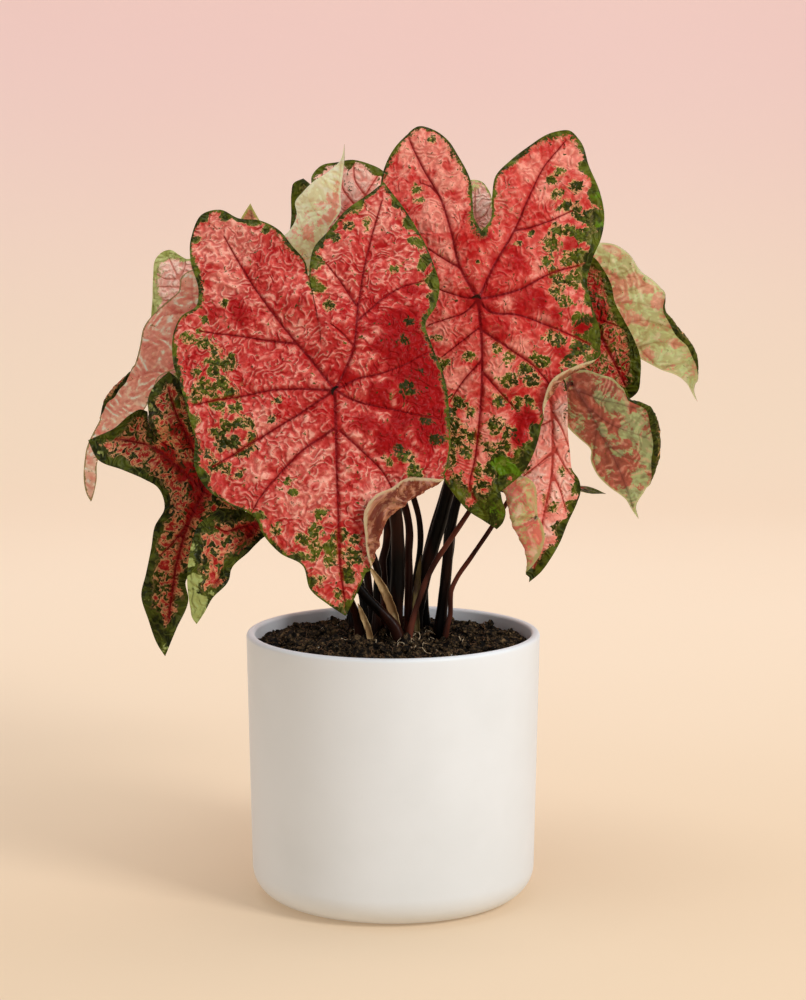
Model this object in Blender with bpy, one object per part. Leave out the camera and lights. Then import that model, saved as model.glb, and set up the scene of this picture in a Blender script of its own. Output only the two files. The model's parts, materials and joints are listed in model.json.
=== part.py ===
"""Potted caladium: a leafy plant of twenty blades in a plain round pot.

Lengths in the lists below are millimetres, and every mesh is made in metres.
The origin is the centre of the pot's base, +Z is up, and the front of the plant faces -Y.
"""

import math
import random

import bmesh
import bpy
import numpy as np
from mathutils.geometry import delaunay_2d_cdt

MM = 0.001

# Pot
POT_HEIGHT = 155.0
RIM_RADIUS = 85.0
BODY_RADIUS = 82.3
CORNER_RADIUS = 18.0
WALL = 5.0
FLOOR = 8.0
LIP_ROUND = 2.2
SIDE_RING = 90.0
FLOOR_RISE = 0.1
POT_SIDES = 48

# Potting soil
SOIL_EDGE = 147.5
SOIL_MOUND = 5.0
SOIL_RINGS = 9
SOIL_BUMP = 1.7
GAP = 0.35

# Tuber, buried under the stems
TUBER_AT = (5.0, 0.0, 108.0)
TUBER_RADIUS = 41.0
TUBER_HALF = 17.0
TUBER_SOCKET = 4.0
TUBER_RINGS = 7
TUBER_SIDES = 20

# Blades and their stems
BLADE_THICK = 0.8
BLADE_FACET = 24.0
HUB_SEAT = 6.0
RIPPLE = 1.2
RIPPLE_LENGTH = 42.0
STEM_SIDES = 7
STEM_GAP = 0.55
NECK = 8.0
BORE_ABOVE = 12.0
SHEATH_FOOT = 9.0
SHEATH_FLAT = 0.4

# Half outline of a heart-shaped blade, as shares of the reach from hub to tip: (along, aside)
HEART = [
    (1.00, 0.00), (0.86, 0.08), (0.69, 0.21), (0.49, 0.37), (0.26, 0.50), (0.02, 0.56), (-0.22, 0.57),
    (-0.44, 0.53), (-0.61, 0.43), (-0.70, 0.29), (-0.64, 0.17), (-0.43, 0.08), (-0.25, 0.03),
]
SINUS = (-0.17, 0.0)

# Colours, linear: (red, green, blue)
WHITE_CERAMIC = (0.72, 0.70, 0.68)
SOIL_BROWN = (0.035, 0.022, 0.014)
TUBER_BROWN = (0.16, 0.09, 0.05)
CORAL = (0.58, 0.07, 0.07)
DEEP_RED = (0.40, 0.03, 0.04)
PALE_PINK = (0.60, 0.25, 0.25)
PALE_GREEN = (0.32, 0.36, 0.18)
STEM_DARK = (0.022, 0.008, 0.007)
STEM_RED = (0.11, 0.025, 0.02)
SHEATH_PALE = (0.38, 0.29, 0.13)
SHEATH_GREEN = (0.12, 0.11, 0.04)

# Each blade's hub, the direction that its upper face looks in there, and its margin:
# points from the hub, starting at the tip and running once round
BLADES = {
    "front_left": dict(hub=(-31, -75, 302), up=(0.06, -0.92, 0.39), margin=[
        (6, -40, -117), (15, -35, -99), (20, -31, -86), (27, -24, -67), (38, -20, -58), (51, -15, -50),
        (58, -12, -46), (62, -7, -34), (62, 1, -15), (60, 9, 4), (53, 17, 23), (49, 22, 34),
        (55, 28, 45), (57, 33, 54), (53, 40, 68), (47, 47, 82), (37, 55, 97), (26, 62, 112),
        (16, 57, 104), (5, 51, 96), (-5, 44, 85), (-13, 37, 75), (-15, 30, 62), (-12, 23, 48),
        (-9, 16, 35), (-8, 10, 22), (-10, 16, 35), (-13, 23, 48), (-16, 30, 62), (-17, 33, 68),
        (-25, 38, 77), (-32, 42, 85), (-43, 45, 91), (-55, 47, 92), (-65, 50, 96), (-75, 49, 94),
        (-81, 43, 82), (-81, 35, 69), (-76, 26, 52), (-77, 22, 45), (-85, 19, 39), (-89, 15, 30),
        (-89, 8, 16), (-84, 1, 1), (-80, -5, -12), (-76, -11, -26), (-76, -16, -39), (-70, -20, -50),
        (-58, -24, -58), (-43, -27, -66), (-38, -30, -75), (-29, -33, -84), (-17, -35, -91),
        (-13, -38, -103), (-3, -39, -111)]),
    "front_right": dict(hub=(47, -25, 349), up=(-0.1, -0.95, 0.29), margin=[
        (11, -25, -127), (14, -25, -124), (16, -24, -118), (14, -24, -111), (13, -23, -106),
        (18, -23, -102), (25, -23, -96), (31, -22, -86), (35, -20, -73), (37, -17, -57), (46, -15, -44),
        (60, -13, -36), (68, -11, -29), (69, -8, -20), (65, -5, -6), (62, 1, 12), (65, 4, 22),
        (70, 9, 33), (72, 13, 46), (70, 18, 58), (64, 24, 73), (59, 31, 88), (54, 33, 93), (44, 33, 92),
        (29, 30, 84), (19, 27, 76), (11, 24, 67), (9, 19, 57), (8, 15, 44), (3, 12, 37), (-1, 15, 44),
        (-2, 19, 54), (-3, 24, 65), (-10, 31, 79), (-16, 36, 88), (-24, 40, 94), (-32, 42, 96),
        (-42, 40, 88), (-51, 36, 75), (-54, 31, 63), (-52, 25, 49), (-45, 18, 35), (-41, 12, 20),
        (-44, 6, -1), (-41, -1, -23), (-36, -7, -45), (-32, -12, -67), (-25, -16, -85), (-19, -19, -99),
        (-12, -21, -109), (-5, -22, -117), (3, -24, -122)]),
    "left_low": dict(hub=(-104, -62, 246), up=(-0.04, -0.99, 0.16), margin=[
        (-21, -18, -90), (-15, -12, -76), (-9, -6, -61), (-10, -2, -50), (-4, 3, -45), (7, 5, -33),
        (19, 6, -19), (24, 7, -8), (21, 7, 8), (11, 6, 23), (1, 4, 34), (-8, 4, 50), (-13, 4, 60),
        (-19, 4, 65), (-26, 4, 59), (-31, 4, 48), (-30, 4, 36), (-26, 2, 29), (-14, 0, 21),
        (-25, 5, 26), (-31, 9, 35), (-32, 12, 42), (-36, 14, 43), (-42, 15, 40), (-51, 16, 32),
        (-60, 14, 28), (-65, 12, 26), (-60, 9, 16), (-45, 6, 10), (-33, 4, 5), (-26, 2, 1),
        (-22, -1, -10), (-27, -4, -20), (-29, -7, -32), (-32, -11, -46), (-34, -14, -56),
        (-30, -17, -70), (-25, -18, -84)]),
    "left_small": dict(hub=(-73, -84, 231), up=(0.22, -0.95, 0.22), margin=[
        (-33, -18, -53), (-29, -17, -47), (-25, -16, -40), (-15, -13, -29), (-14, -12, -24),
        (-5, -8, -15), (-1, -5, -11), (5, -1, -7), (11, 1, -7), (17, 2, 0), (14, 2, 8), (5, 1, 6),
        (7, 2, 14), (2, 2, 14), (-5, 0, 6), (-13, -1, 7), (-21, -3, 8), (-27, -6, 4), (-32, -8, 0),
        (-35, -11, -8), (-37, -13, -17), (-38, -15, -28), (-36, -18, -44), (-35, -18, -50)]),
    "left_under": dict(hub=(-109, 2, 334), up=(-0.35, 0.85, 0.38), margin=[
        (-67, 11, -105), (-63, 9, -93), (-62, 5, -81), (-54, 4, -67), (-44, 6, -62), (-36, 6, -52),
        (-30, 5, -41), (-25, 3, -32), (-16, 5, -28), (-2, 11, -30), (10, 14, -24), (16, 11, -10),
        (11, 3, 2), (17, 0, 15), (14, -7, 27), (5, -13, 31), (-5, -16, 30), (-10, -17, 26),
        (-12, -14, 19), (-22, -14, 11), (-32, -12, -3), (-35, -9, -13), (-40, -6, -26), (-45, -6, -32),
        (-51, -6, -39), (-55, -6, -44), (-58, -4, -53), (-64, -2, -65), (-67, 0, -73), (-70, 5, -91),
        (-69, 8, -100)]),
    "left_back": dict(hub=(-109, 38, 341), up=(-0.25, -0.95, 0.2), margin=[
        (-39, 4, -49), (-24, 0, -46), (-7, -1, -37), (6, -1, -23), (14, -2, -7), (17, 2, 9),
        (14, 8, 23), (7, 10, 28), (2, 8, 25), (-1, 4, 13), (-5, 8, 24), (-9, 10, 27), (-13, 11, 27),
        (-17, 12, 29), (-22, 13, 32), (-26, 13, 31), (-30, 12, 27), (-32, 10, 16), (-33, 8, 3),
        (-34, 6, -12), (-40, 5, -29)]),
    "top_pale": dict(hub=(-45, 20, 350), up=(0.05, 0.98, 0.2), margin=[
        (18, -21, 85), (16, -18, 76), (8, -16, 69), (0, -14, 64), (-6, -12, 58), (-11, -10, 51),
        (-10, -9, 45), (-15, -7, 35), (-22, -5, 30), (-27, -2, 17), (-28, 1, 1), (-23, 4, -15),
        (-14, 5, -22), (-6, 4, -18), (-1, 2, -11), (6, 3, -18), (14, 3, -20), (21, 1, -9), (21, -2, 6),
        (16, -4, 17), (9, -6, 27), (7, -7, 34), (11, -9, 41), (15, -11, 47), (15, -13, 56),
        (17, -16, 69), (18, -18, 76)]),
    "top_red": dict(hub=(-32, 50, 373), up=(0.03, -0.95, 0.3), margin=[
        (8, -20, -47), (20, -16, -41), (31, -10, -28), (37, -2, -7), (37, 6, 14), (33, 12, 35),
        (25, 15, 47), (17, 16, 50), (8, 16, 52), (-1, 16, 51), (-11, 14, 49), (-16, 12, 43),
        (-14, 9, 32), (-8, 7, 20), (-16, 7, 27), (-17, 9, 38), (-21, 10, 41), (-27, 9, 38),
        (-28, 8, 33), (-28, 5, 20), (-29, 0, 3), (-24, -6, -17), (-12, -14, -36)]),
    "top_left": dict(hub=(-79, 36, 344), up=(-0.1, 0.97, 0.22), margin=[
        (-3, -14, 57), (-8, -12, 49), (-14, -9, 36), (-19, -6, 19), (-18, -2, 3), (-13, 1, -13),
        (-5, 3, -17), (-1, 2, -9), (4, 4, -17), (13, 4, -13), (19, 1, 3), (18, -3, 19), (10, -7, 34),
        (1, -11, 49)]),
    "notch": dict(hub=(58, 42, 366), up=(-0.0, -0.94, 0.35), margin=[
        (4, -22, -55), (19, -18, -47), (31, -12, -30), (37, -4, -10), (38, 4, 13), (33, 12, 33),
        (22, 15, 42), (12, 14, 38), (6, 10, 25), (2, 5, 13), (1, 11, 30), (-2, 15, 42), (-6, 17, 47),
        (-11, 17, 48), (-18, 16, 45), (-26, 12, 33), (-31, 6, 16), (-31, -2, -4), (-26, -10, -24),
        (-13, -18, -45)]),
    "right_far": dict(hub=(115, 42, 346), up=(0.35, 0.85, 0.38), margin=[
        (64, -4, -61), (58, -4, -52), (53, -4, -47), (43, -1, -42), (36, 1, -39), (28, 3, -36),
        (14, 9, -36), (0, 12, -29), (-11, 11, -16), (-13, 6, -2), (-6, 1, 4), (-14, 1, 11),
        (-13, -5, 23), (-6, -12, 31), (5, -17, 32), (12, -20, 31), (22, -20, 25), (29, -19, 16),
        (35, -20, 11), (41, -18, 3), (43, -15, -8), (48, -15, -13), (53, -14, -20), (58, -14, -27),
        (62, -12, -37), (63, -9, -46), (62, -5, -54)]),
    "right_red": dict(hub=(109, 7, 342), up=(0.03, -1.0, 0.09), margin=[
        (26, -1, -53), (31, -2, -49), (33, -2, -39), (33, -2, -29), (29, -2, -18), (23, -2, -7),
        (18, -1, 3), (16, 1, 13), (11, 3, 22), (6, 5, 28), (0, 7, 30), (-5, 7, 24), (-4, 3, 11),
        (-9, 5, 22), (-16, 5, 22), (-21, 2, 11), (-21, -1, -4), (-17, -3, -20), (-10, -3, -33),
        (2, -2, -44), (16, -1, -50)]),
    "right_droop": dict(hub=(102, -6, 300), up=(0.45, 0.81, 0.38), margin=[
        (40, 11, -80), (36, 11, -75), (33, 12, -70), (24, 13, -62), (16, 15, -54), (12, 14, -46),
        (12, 12, -41), (5, 12, -33), (-1, 12, -26), (-6, 10, -14), (-5, 4, -2), (-3, 0, 3), (0, -3, 7),
        (7, -7, 8), (15, -11, 5), (22, -13, 3), (27, -15, -1), (33, -15, -8), (37, -17, -9),
        (42, -18, -12), (46, -18, -19), (49, -14, -30), (49, -10, -41), (46, -3, -53), (43, 3, -62),
        (39, 9, -72)]),
    "right_hang": dict(hub=(89, -24, 296), up=(-0.16, -0.94, 0.29), margin=[
        (-13, -26, -104), (-6, -26, -98), (-1, -26, -91), (4, -25, -82), (9, -23, -70), (14, -21, -60),
        (16, -20, -54), (15, -19, -47), (11, -18, -41), (10, -16, -33), (9, -12, -22), (9, -8, -11),
        (9, -3, -2), (7, 2, 8), (1, 4, 11), (-1, 2, 7), (-5, 6, 11), (-10, 6, 9), (-15, 4, -2),
        (-20, -2, -18), (-25, -8, -34), (-27, -14, -48), (-25, -17, -56), (-22, -20, -65),
        (-20, -22, -73), (-15, -24, -82), (-12, -25, -90)]),
}

# Blades round the back, grown from the heart outline: hub, reach, compass heading of the tip
# (0 faces the front, 90 the right), slope below level and droop of the margin
BACK_BLADES = {
    "back_centre": dict(hub=(0, 112, 326), reach=84, heading=178, slope=40, droop=12),
    "back_left": dict(hub=(-58, 98, 312), reach=84, heading=-145, slope=38, droop=13),
    "back_right": dict(hub=(94, 88, 302), reach=70, heading=124, slope=36, droop=11),
    "back_low": dict(hub=(4, 118, 274), reach=66, heading=172, slope=24, droop=8),
    "back_left_low": dict(hub=(-90, 62, 262), reach=54, heading=-108, slope=18, droop=7),
    "back_right_low": dict(hub=(86, 50, 236), reach=42, heading=98, slope=8, droop=2),
}

# Each stem: base on the soil (x, y), the points it passes on its way to the hub, radius at the
# soil, radius at the hub and colour
STEMS = {
    "front_left": ((0, -6), [(2, -7, 173), (2, -10, 222), (-12, -36, 270)], 4.8, 2.5, STEM_DARK),
    "front_right": ((12, 7), [(15, 7, 173), (22, 6, 200), (32, 3, 236), (44, -2, 300)], 4.9, 2.4, STEM_DARK),
    "left_low": (
        (4, -21), [(-3, -20, 166), (-16, -22, 180), (-46, -26, 222), (-82, -30, 244)], 3.3, 1.8, STEM_DARK,
    ),
    "left_small": ((-19, -9), [(-24, -14, 174), (-45, -36, 210), (-66, -64, 226)], 2.8, 1.5, STEM_DARK),
    "left_under": ((-10, -10), [(-9, -10, 183), (-13, -10, 204), (-50, -18, 280)], 2.4, 1.6, STEM_DARK),
    "left_back": ((-17, 5), [(-22, 9, 192), (-62, 34, 276)], 2.6, 1.6, STEM_DARK),
    "top_pale": (
        (11, 17), [(13, 15, 182), (16, 13, 206), (11, 12, 234), (-14, 12, 292)], 1.9, 1.5, STEM_DARK,
    ),
    "top_red": ((-8, 2), [(-5, 3, 176), (-6, 4, 196), (-3, 8, 216), (-8, 28, 288)], 2.5, 1.6, STEM_RED),
    "top_left": ((9, -2), [(9, -1, 176), (9, 0, 200), (6, 4, 230), (-26, 20, 276)], 2.6, 1.6, STEM_RED),
    "notch": ((19, 19), [(18, 20, 180), (22, 20, 206), (32, 20, 240), (48, 30, 300)], 2.9, 1.6, STEM_DARK),
    "right_far": ((28, 9), [(31, 11, 196), (38, 13, 238), (72, 24, 286)], 2.6, 1.6, STEM_DARK),
    "right_red": (
        (9, -17), [(15, -15, 176), (24, -14, 197), (42, -12, 224), (76, 0, 278)], 1.8, 1.1, STEM_RED,
    ),
    "right_droop": (
        (30, -13),
        [(33, -13, 167), (33, -13, 176), (36, -13, 187), (56, -13, 217), (82, -16, 262)],
        1.6, 1.0, STEM_RED,
    ),
    "right_hang": ((27, -4), [(31, -6, 190), (36, -7, 229), (58, -6, 272)], 3.6, 1.8, STEM_DARK),
    "back_centre": ((2, 26), [(3, 38, 210), (2, 70, 284)], 2.8, 1.7, STEM_DARK),
    "back_left": ((-12, 24), [(-20, 40, 210), (-36, 68, 268)], 2.6, 1.6, STEM_DARK),
    "back_right": ((15, 27), [(26, 34, 210), (40, 42, 244), (64, 64, 276)], 2.4, 1.6, STEM_DARK),
    "back_low": ((-5, 33), [(-2, 50, 200), (0, 84, 246)], 2.4, 1.6, STEM_DARK),
    "back_left_low": ((-23, 16), [(-34, 24, 190), (-60, 42, 236)], 2.4, 1.5, STEM_DARK),
    "back_right_low": ((26, 19), [(34, 22, 198), (38, 27, 226), (52, 36, 234)], 2.0, 1.3, STEM_DARK),
}

# Papery sheaths at the foot of the stems: route from soil to tip, widest radius and colour
SHEATHS = {
    "sheath_pale": ([(3, -14, 152), (0, -14, 168), (-6, -15, 183), (-14, -15, 196)], 2.6, SHEATH_PALE),
    "sheath_green": ([(14, -7, 152), (13, -7, 168), (14, -5, 184), (16, -4, 200)], 1.9, SHEATH_GREEN),
    "sheath_brown": ([(-13, -20, 152), (-14, -20, 159), (-17, -21, 167), (-20, -22, 175)], 1.8, SHEATH_PALE),
}

BLADE_COLOURS = {
    "left_under": PALE_PINK, "left_back": PALE_PINK, "top_pale": PALE_GREEN, "right_far": PALE_GREEN,
    "right_droop": PALE_PINK, "top_left": PALE_PINK, "left_low": DEEP_RED, "right_red": DEEP_RED,
}


def unit(vector):
    """The same direction with a length of one."""
    vector = np.asarray(vector, float)
    return vector / np.linalg.norm(vector)


def material(name, colour, roughness):
    """A plain Principled material."""
    made = bpy.data.materials.new(name)
    made.use_nodes = True
    shader = made.node_tree.nodes["Principled BSDF"]
    shader.inputs["Base Color"].default_value = (*colour, 1.0)
    shader.inputs["Roughness"].default_value = roughness
    return made


def solid(name, points, faces, look, smooth=True):
    """A mesh object in metres from points in millimetres, with its faces turned outwards."""
    mesh = bpy.data.meshes.new(name)
    mesh.from_pydata([tuple(float(c) * MM for c in p) for p in points], [], faces)
    made = bmesh.new()
    made.from_mesh(mesh)
    bmesh.ops.recalc_face_normals(made, faces=made.faces)
    made.to_mesh(mesh)
    made.free()
    if smooth:
        mesh.shade_smooth()
        mesh.set_sharp_from_angle(angle=math.radians(40))
    if look:
        mesh.materials.append(look)
    piece = bpy.data.objects.new(name, mesh)
    bpy.context.scene.collection.objects.link(piece)
    return piece


def circle(radius, heights):
    """Points round the pot's axis, one at each of the heights."""
    turns = [2 * math.pi * side / len(heights) for side in range(len(heights))]
    return [(radius * math.cos(turn), radius * math.sin(turn), z) for turn, z in zip(turns, heights)]


def turned(name, profile, look):
    """A solid of revolution about Z from (radius, height) points that start and end on the axis."""
    rings = profile[1:-1]
    points = [(0.0, 0.0, profile[0][1])]
    for radius, height in rings:
        points += circle(radius, [height] * POT_SIDES)
    points.append((0.0, 0.0, profile[-1][1]))
    return solid(name, points, ring_faces(len(rings), POT_SIDES), look)


def ring_faces(rings, sides):
    """Faces of a closed body of rings with one point before the first and one after the last."""
    faces = []
    last = 1 + rings * sides
    for side in range(sides):
        after = (side + 1) % sides
        faces.append((0, 1 + after, 1 + side))
        faces.append((last, last - sides + side, last - sides + after))
        for ring in range(rings - 1):
            low = 1 + ring * sides
            high = low + sides
            faces.append((low + side, low + after, high + after))
            faces.append((low + side, high + after, high + side))
    return faces


def side_radius(height):
    """Outer radius of the pot at a height: a rounded corner, then a side that widens to the rim."""
    if height < CORNER_RADIUS:
        rise = 1 - height / CORNER_RADIUS
        return BODY_RADIUS - CORNER_RADIUS * (1 - math.sqrt(1 - rise * rise))
    share = (height - CORNER_RADIUS) / (POT_HEIGHT - CORNER_RADIUS)
    return BODY_RADIUS + (RIM_RADIUS - BODY_RADIUS) * share


def inner_radius(height):
    """Radius of the pot's hollow at a height."""
    lift = height - FLOOR
    inside = CORNER_RADIUS - WALL
    wall_side = side_radius(max(height, CORNER_RADIUS)) - WALL
    if lift < inside:
        rise = 1 - lift / inside
        return wall_side - inside * (1 - math.sqrt(1 - rise * rise))
    return wall_side


def build_pot(look):
    """The pot: flat base, rounded corner, gently widening side and a small rounded lip."""
    outer = []
    for degrees in range(0, 91, 15):
        turn = math.radians(degrees)
        radius = BODY_RADIUS - CORNER_RADIUS * (1 - math.sin(turn))
        outer.append((radius, CORNER_RADIUS * (1 - math.cos(turn))))
    outer.append((side_radius(SIDE_RING), SIDE_RING))
    outer.append((RIM_RADIUS, POT_HEIGHT - LIP_ROUND))
    outer.append((RIM_RADIUS - LIP_ROUND * 0.3, POT_HEIGHT - LIP_ROUND * 0.3))
    outer.append((RIM_RADIUS - LIP_ROUND, POT_HEIGHT))
    inner = [(RIM_RADIUS - WALL + LIP_ROUND * 0.6, POT_HEIGHT)]
    inner.append((RIM_RADIUS - WALL, POT_HEIGHT - LIP_ROUND))
    inner += [(inner_radius(height), height) for height in hollow_heights()]
    profile = [(0.0, 0.0)] + outer + inner + [(0.0, FLOOR)]
    return turned("pot", profile, look)


def hollow_heights():
    """Heights at which the pot's hollow and the soil both have a ring, from the top down."""
    corner = CORNER_RADIUS - WALL
    rises = [FLOOR + corner * share for share in (1.0, 0.5, 0.15)]
    return [SOIL_EDGE, SIDE_RING] + rises + [FLOOR + FLOOR_RISE]


def build_soil(look):
    """Potting soil: it fills the hollow, with a lumpy top that rises to the middle."""
    draw = random.Random(7)
    points = [(0.0, 0.0, surface_height(0.0))]
    for ring in range(1, SOIL_RINGS + 1):
        radius = (inner_radius(SOIL_EDGE) - GAP) * ring / SOIL_RINGS
        bump = SOIL_BUMP if ring < SOIL_RINGS else 0.0
        level = surface_height(radius)
        points += circle(radius, [level + draw.uniform(-bump, bump) for _ in range(POT_SIDES)])
    for height in hollow_heights()[1:]:
        level = height + (GAP if height < CORNER_RADIUS + FLOOR else 0.0)
        points += circle(inner_radius(height) - GAP, [level] * POT_SIDES)
    points.append((0.0, 0.0, FLOOR + FLOOR_RISE + GAP))
    faces = ring_faces(SOIL_RINGS + len(hollow_heights()) - 1, POT_SIDES)
    return solid("soil", points, faces, look, smooth=False)


def surface_height(radius):
    """Height of the soil without its lumps, at a distance from the pot's axis."""
    share = radius / inner_radius(SOIL_EDGE)
    return SOIL_EDGE + SOIL_MOUND * math.cos(min(share, 1.0) * math.pi / 2) ** 1.5


def tuber_top(x, y):
    """Height of the tuber's upper side above a point, without its knobs."""
    share = math.hypot(x - TUBER_AT[0], y - TUBER_AT[1]) / TUBER_RADIUS
    return TUBER_AT[2] + TUBER_HALF * math.sqrt(max(0.0, 1 - min(share, 1.0) ** 3))


def build_tuber(name, grow, look):
    """A flattened knobbly tuber, or with a grow value the room that it takes up in the soil."""
    points = [(TUBER_AT[0], TUBER_AT[1], TUBER_AT[2] - TUBER_HALF - grow)]
    for ring in range(1, TUBER_RINGS + 1):
        swing = math.pi * ring / (TUBER_RINGS + 1)
        share = math.sin(swing) ** 0.8
        rise = -math.cos(swing)
        for side in range(TUBER_SIDES):
            turn = 2 * math.pi * side / TUBER_SIDES
            knob = 1 + 0.03 * math.sin(5 * turn + ring) + 0.02 * math.sin(9 * turn)
            radius = TUBER_RADIUS * share * knob + grow
            height = rise * (TUBER_HALF + grow)
            points.append((
                TUBER_AT[0] + radius * math.cos(turn),
                TUBER_AT[1] + radius * math.sin(turn),
                TUBER_AT[2] + height,
            ))
    points.append((TUBER_AT[0], TUBER_AT[1], TUBER_AT[2] + TUBER_HALF + grow))
    return solid(name, points, ring_faces(TUBER_RINGS, TUBER_SIDES), look)


def heart_margin(reach, heading, slope, droop):
    """Margin and upper direction of a blade grown from the heart outline."""
    turn = math.radians(heading)
    down = math.radians(slope)
    along = np.array([math.cos(down) * math.sin(turn), -math.cos(down) * math.cos(turn), -math.sin(down)])
    up = np.array([math.sin(down) * math.sin(turn), -math.sin(down) * math.cos(turn), math.cos(down)])
    aside = np.cross(up, along)
    outline = HEART + [SINUS] + [(a, -b) for a, b in HEART[:0:-1]]
    margin = []
    for a, b in outline:
        fall = droop * (a * a + 1.6 * b * b)
        margin.append(reach * (a * along + b * aside) - fall * up)
    return up, margin


def flat_outline(up, margin):
    """The margin laid flat round the hub, (along, aside), and the blade's two level directions."""
    forward = unit(margin[0] - np.dot(margin[0], up) * up)
    aside = np.cross(up, forward)
    flat = np.stack([margin @ forward, margin @ aside], axis=1)
    stretch = np.linalg.norm(margin, axis=1) / np.linalg.norm(flat, axis=1)
    return flat * stretch[:, None], forward, aside


def inside(points, outline):
    """Which flat points lie inside a closed outline."""
    x, y = points[:, 0], points[:, 1]
    within = np.zeros(len(points), bool)
    for a, b in zip(outline, np.roll(outline, -1, axis=0)):
        crosses = (a[1] > y) != (b[1] > y)
        rise = np.where(b[1] == a[1], 1.0, b[1] - a[1])
        within ^= crosses & (x < a[0] + (y - a[1]) * (b[0] - a[0]) / rise)
    return within


def edge_distance(points, outline):
    """Distance of each flat point from a closed outline."""
    nearest = np.full(len(points), np.inf)
    for a, b in zip(outline, np.roll(outline, -1, axis=0)):
        run = b - a
        share = np.clip(((points - a) @ run) / np.dot(run, run), 0, 1)
        nearest = np.minimum(nearest, np.linalg.norm(points - a - share[:, None] * run, axis=1))
    return nearest


def bent(flat_known, known, flat):
    """Places of flat points on the smoothest sheet through the known places: a thin plate."""
    def plate(a, b):
        square = ((a[:, None, :] - b[None, :, :]) ** 2).sum(axis=2)
        return square * np.log(square + 1e-9)

    count = len(known)
    scale = 100.0
    near, far = flat_known / scale, flat / scale
    level = np.column_stack([np.ones(count), near])
    system = np.block([[plate(near, near), level], [level.T, np.zeros((3, 3))]])
    weights = np.linalg.solve(system, np.vstack([known, np.zeros((3, 3))]))
    return plate(far, near) @ weights[:count] + np.column_stack([np.ones(len(far)), far]) @ weights[count:]


def blade_sheet(up, margin, spacing):
    """Middle sheet of a blade: points from the hub, margin first, and triangles that look along up."""
    up = unit(up)
    margin = np.array(margin, float)
    outline, forward, aside = flat_outline(up, margin)
    steps = np.linalg.norm(np.roll(outline, -1, axis=0) - outline, axis=1)
    walked = np.concatenate([[0.0], np.cumsum(steps)[:-1]]) / steps.sum()
    waves = round(steps.sum() / RIPPLE_LENGTH)
    margin = margin + RIPPLE * np.sin(2 * math.pi * waves * walked)[:, None] * up

    low, high = outline.min(axis=0), outline.max(axis=0)
    lattice = []
    row_step = spacing * math.sqrt(3) / 2
    for row, along in enumerate(np.arange(low[0], high[0], row_step)):
        for across in np.arange(low[1] + spacing / 2 * (row % 2), high[1], spacing):
            lattice.append((along, across))
    lattice = np.array(lattice)
    lattice = lattice[inside(lattice, outline) & (edge_distance(lattice, outline) > spacing * 0.45)]
    lattice = lattice[np.linalg.norm(lattice, axis=1) > spacing * 0.6]
    seat = HUB_SEAT * np.array([(0, 0), (1, 0), (-1, 0), (0, 1), (0, -1)], float)
    held = seat[inside(seat, outline) & (edge_distance(seat, outline) > HUB_SEAT * 0.3)]
    flat = np.concatenate([outline, held, lattice])

    ring = list(range(len(outline)))
    result = delaunay_2d_cdt([tuple(p) for p in flat], [], [ring], 1, 1e-5)
    faces = [tuple(face) for face in result[2]]
    assert len(result[0]) == len(flat), "the outline crosses itself"
    flat = np.array([tuple(p) for p in result[0]])

    seated = seat[:, :1] * forward + seat[:, 1:] * aside
    return bent(np.concatenate([outline, seat]), np.concatenate([margin, seated]), flat), faces


def build_blade(name, hub, up, margin, look):
    """A thin solid blade: the middle sheet moved half the thickness both ways, and its edge."""
    points, faces = blade_sheet(up, margin, BLADE_FACET)
    normals = np.zeros_like(points)
    for a, b, c in faces:
        normals[[a, b, c]] += np.cross(points[b] - points[a], points[c] - points[a])
    normals /= np.linalg.norm(normals, axis=1)[:, None]
    half = BLADE_THICK / 2
    both = np.concatenate([points + half * normals, points - half * normals]) + np.array(hub, float)
    under = len(points)
    shell = list(faces) + [(a + under, c + under, b + under) for a, b, c in faces]
    for near in range(len(margin)):
        far = (near + 1) % len(margin)
        shell += [(near, near + under, far + under), (near, far + under, far)]
    return solid(name, both, shell, look)


def smooth_route(points, steps):
    """Points along one smooth curve that passes through the route's own points."""
    points = np.array(points, float)
    ends = np.concatenate([[2 * points[0] - points[1]], points, [2 * points[-1] - points[-2]]])
    route = []
    for k in range(len(points) - 1):
        a, b, c, d = ends[k : k + 4]
        for t in np.arange(steps) / steps:
            route.append(0.5 * (2 * b + (c - a) * t + (2 * a - 5 * b + 4 * c - d) * t**2
                                + (3 * b - a - 3 * c + d) * t**3))
    route.append(points[-1])
    return np.array(route)


def tube(name, route, radii, look, flat=1.0, last_normal=None):
    """A closed tube with a radius at each point of its route; flat squashes it front to back."""
    ways = np.gradient(route, axis=0)
    points = [route[0]]
    side = unit(np.cross(ways[0], (0.0, 1.0, 0.0)))
    for k, centre in enumerate(route):
        way = unit(ways[k])
        side = unit(side - np.dot(side, way) * way)
        other = np.cross(way, side)
        for corner in range(STEM_SIDES):
            turn = 2 * math.pi * corner / STEM_SIDES
            spoke = math.cos(turn) * side + flat * math.sin(turn) * other
            if last_normal is not None and k == len(route) - 1:
                spoke = unit(spoke - np.dot(spoke, last_normal) * last_normal)
            points.append(centre + radii[k] * spoke)
    points.append(route[-1])
    return solid(name, points, ring_faces(len(route), STEM_SIDES), look)


def bore_cutter(name, route, radii, flat=1.0):
    """The room that the buried end of a stem or sheath takes up, with its gap all round."""
    buried = int(np.argmax(route[:, 2] > SOIL_EDGE + SOIL_MOUND + BORE_ABOVE)) + 1
    route = route[:buried].copy()
    route[0, 2] -= GAP
    grown = np.array(radii[:buried]) + GAP / math.cos(math.pi / STEM_SIDES) / flat
    cutter = tube(name, route, grown, None, flat)
    cutter.display_type = "WIRE"
    cutter.hide_render = True
    return cutter


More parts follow.
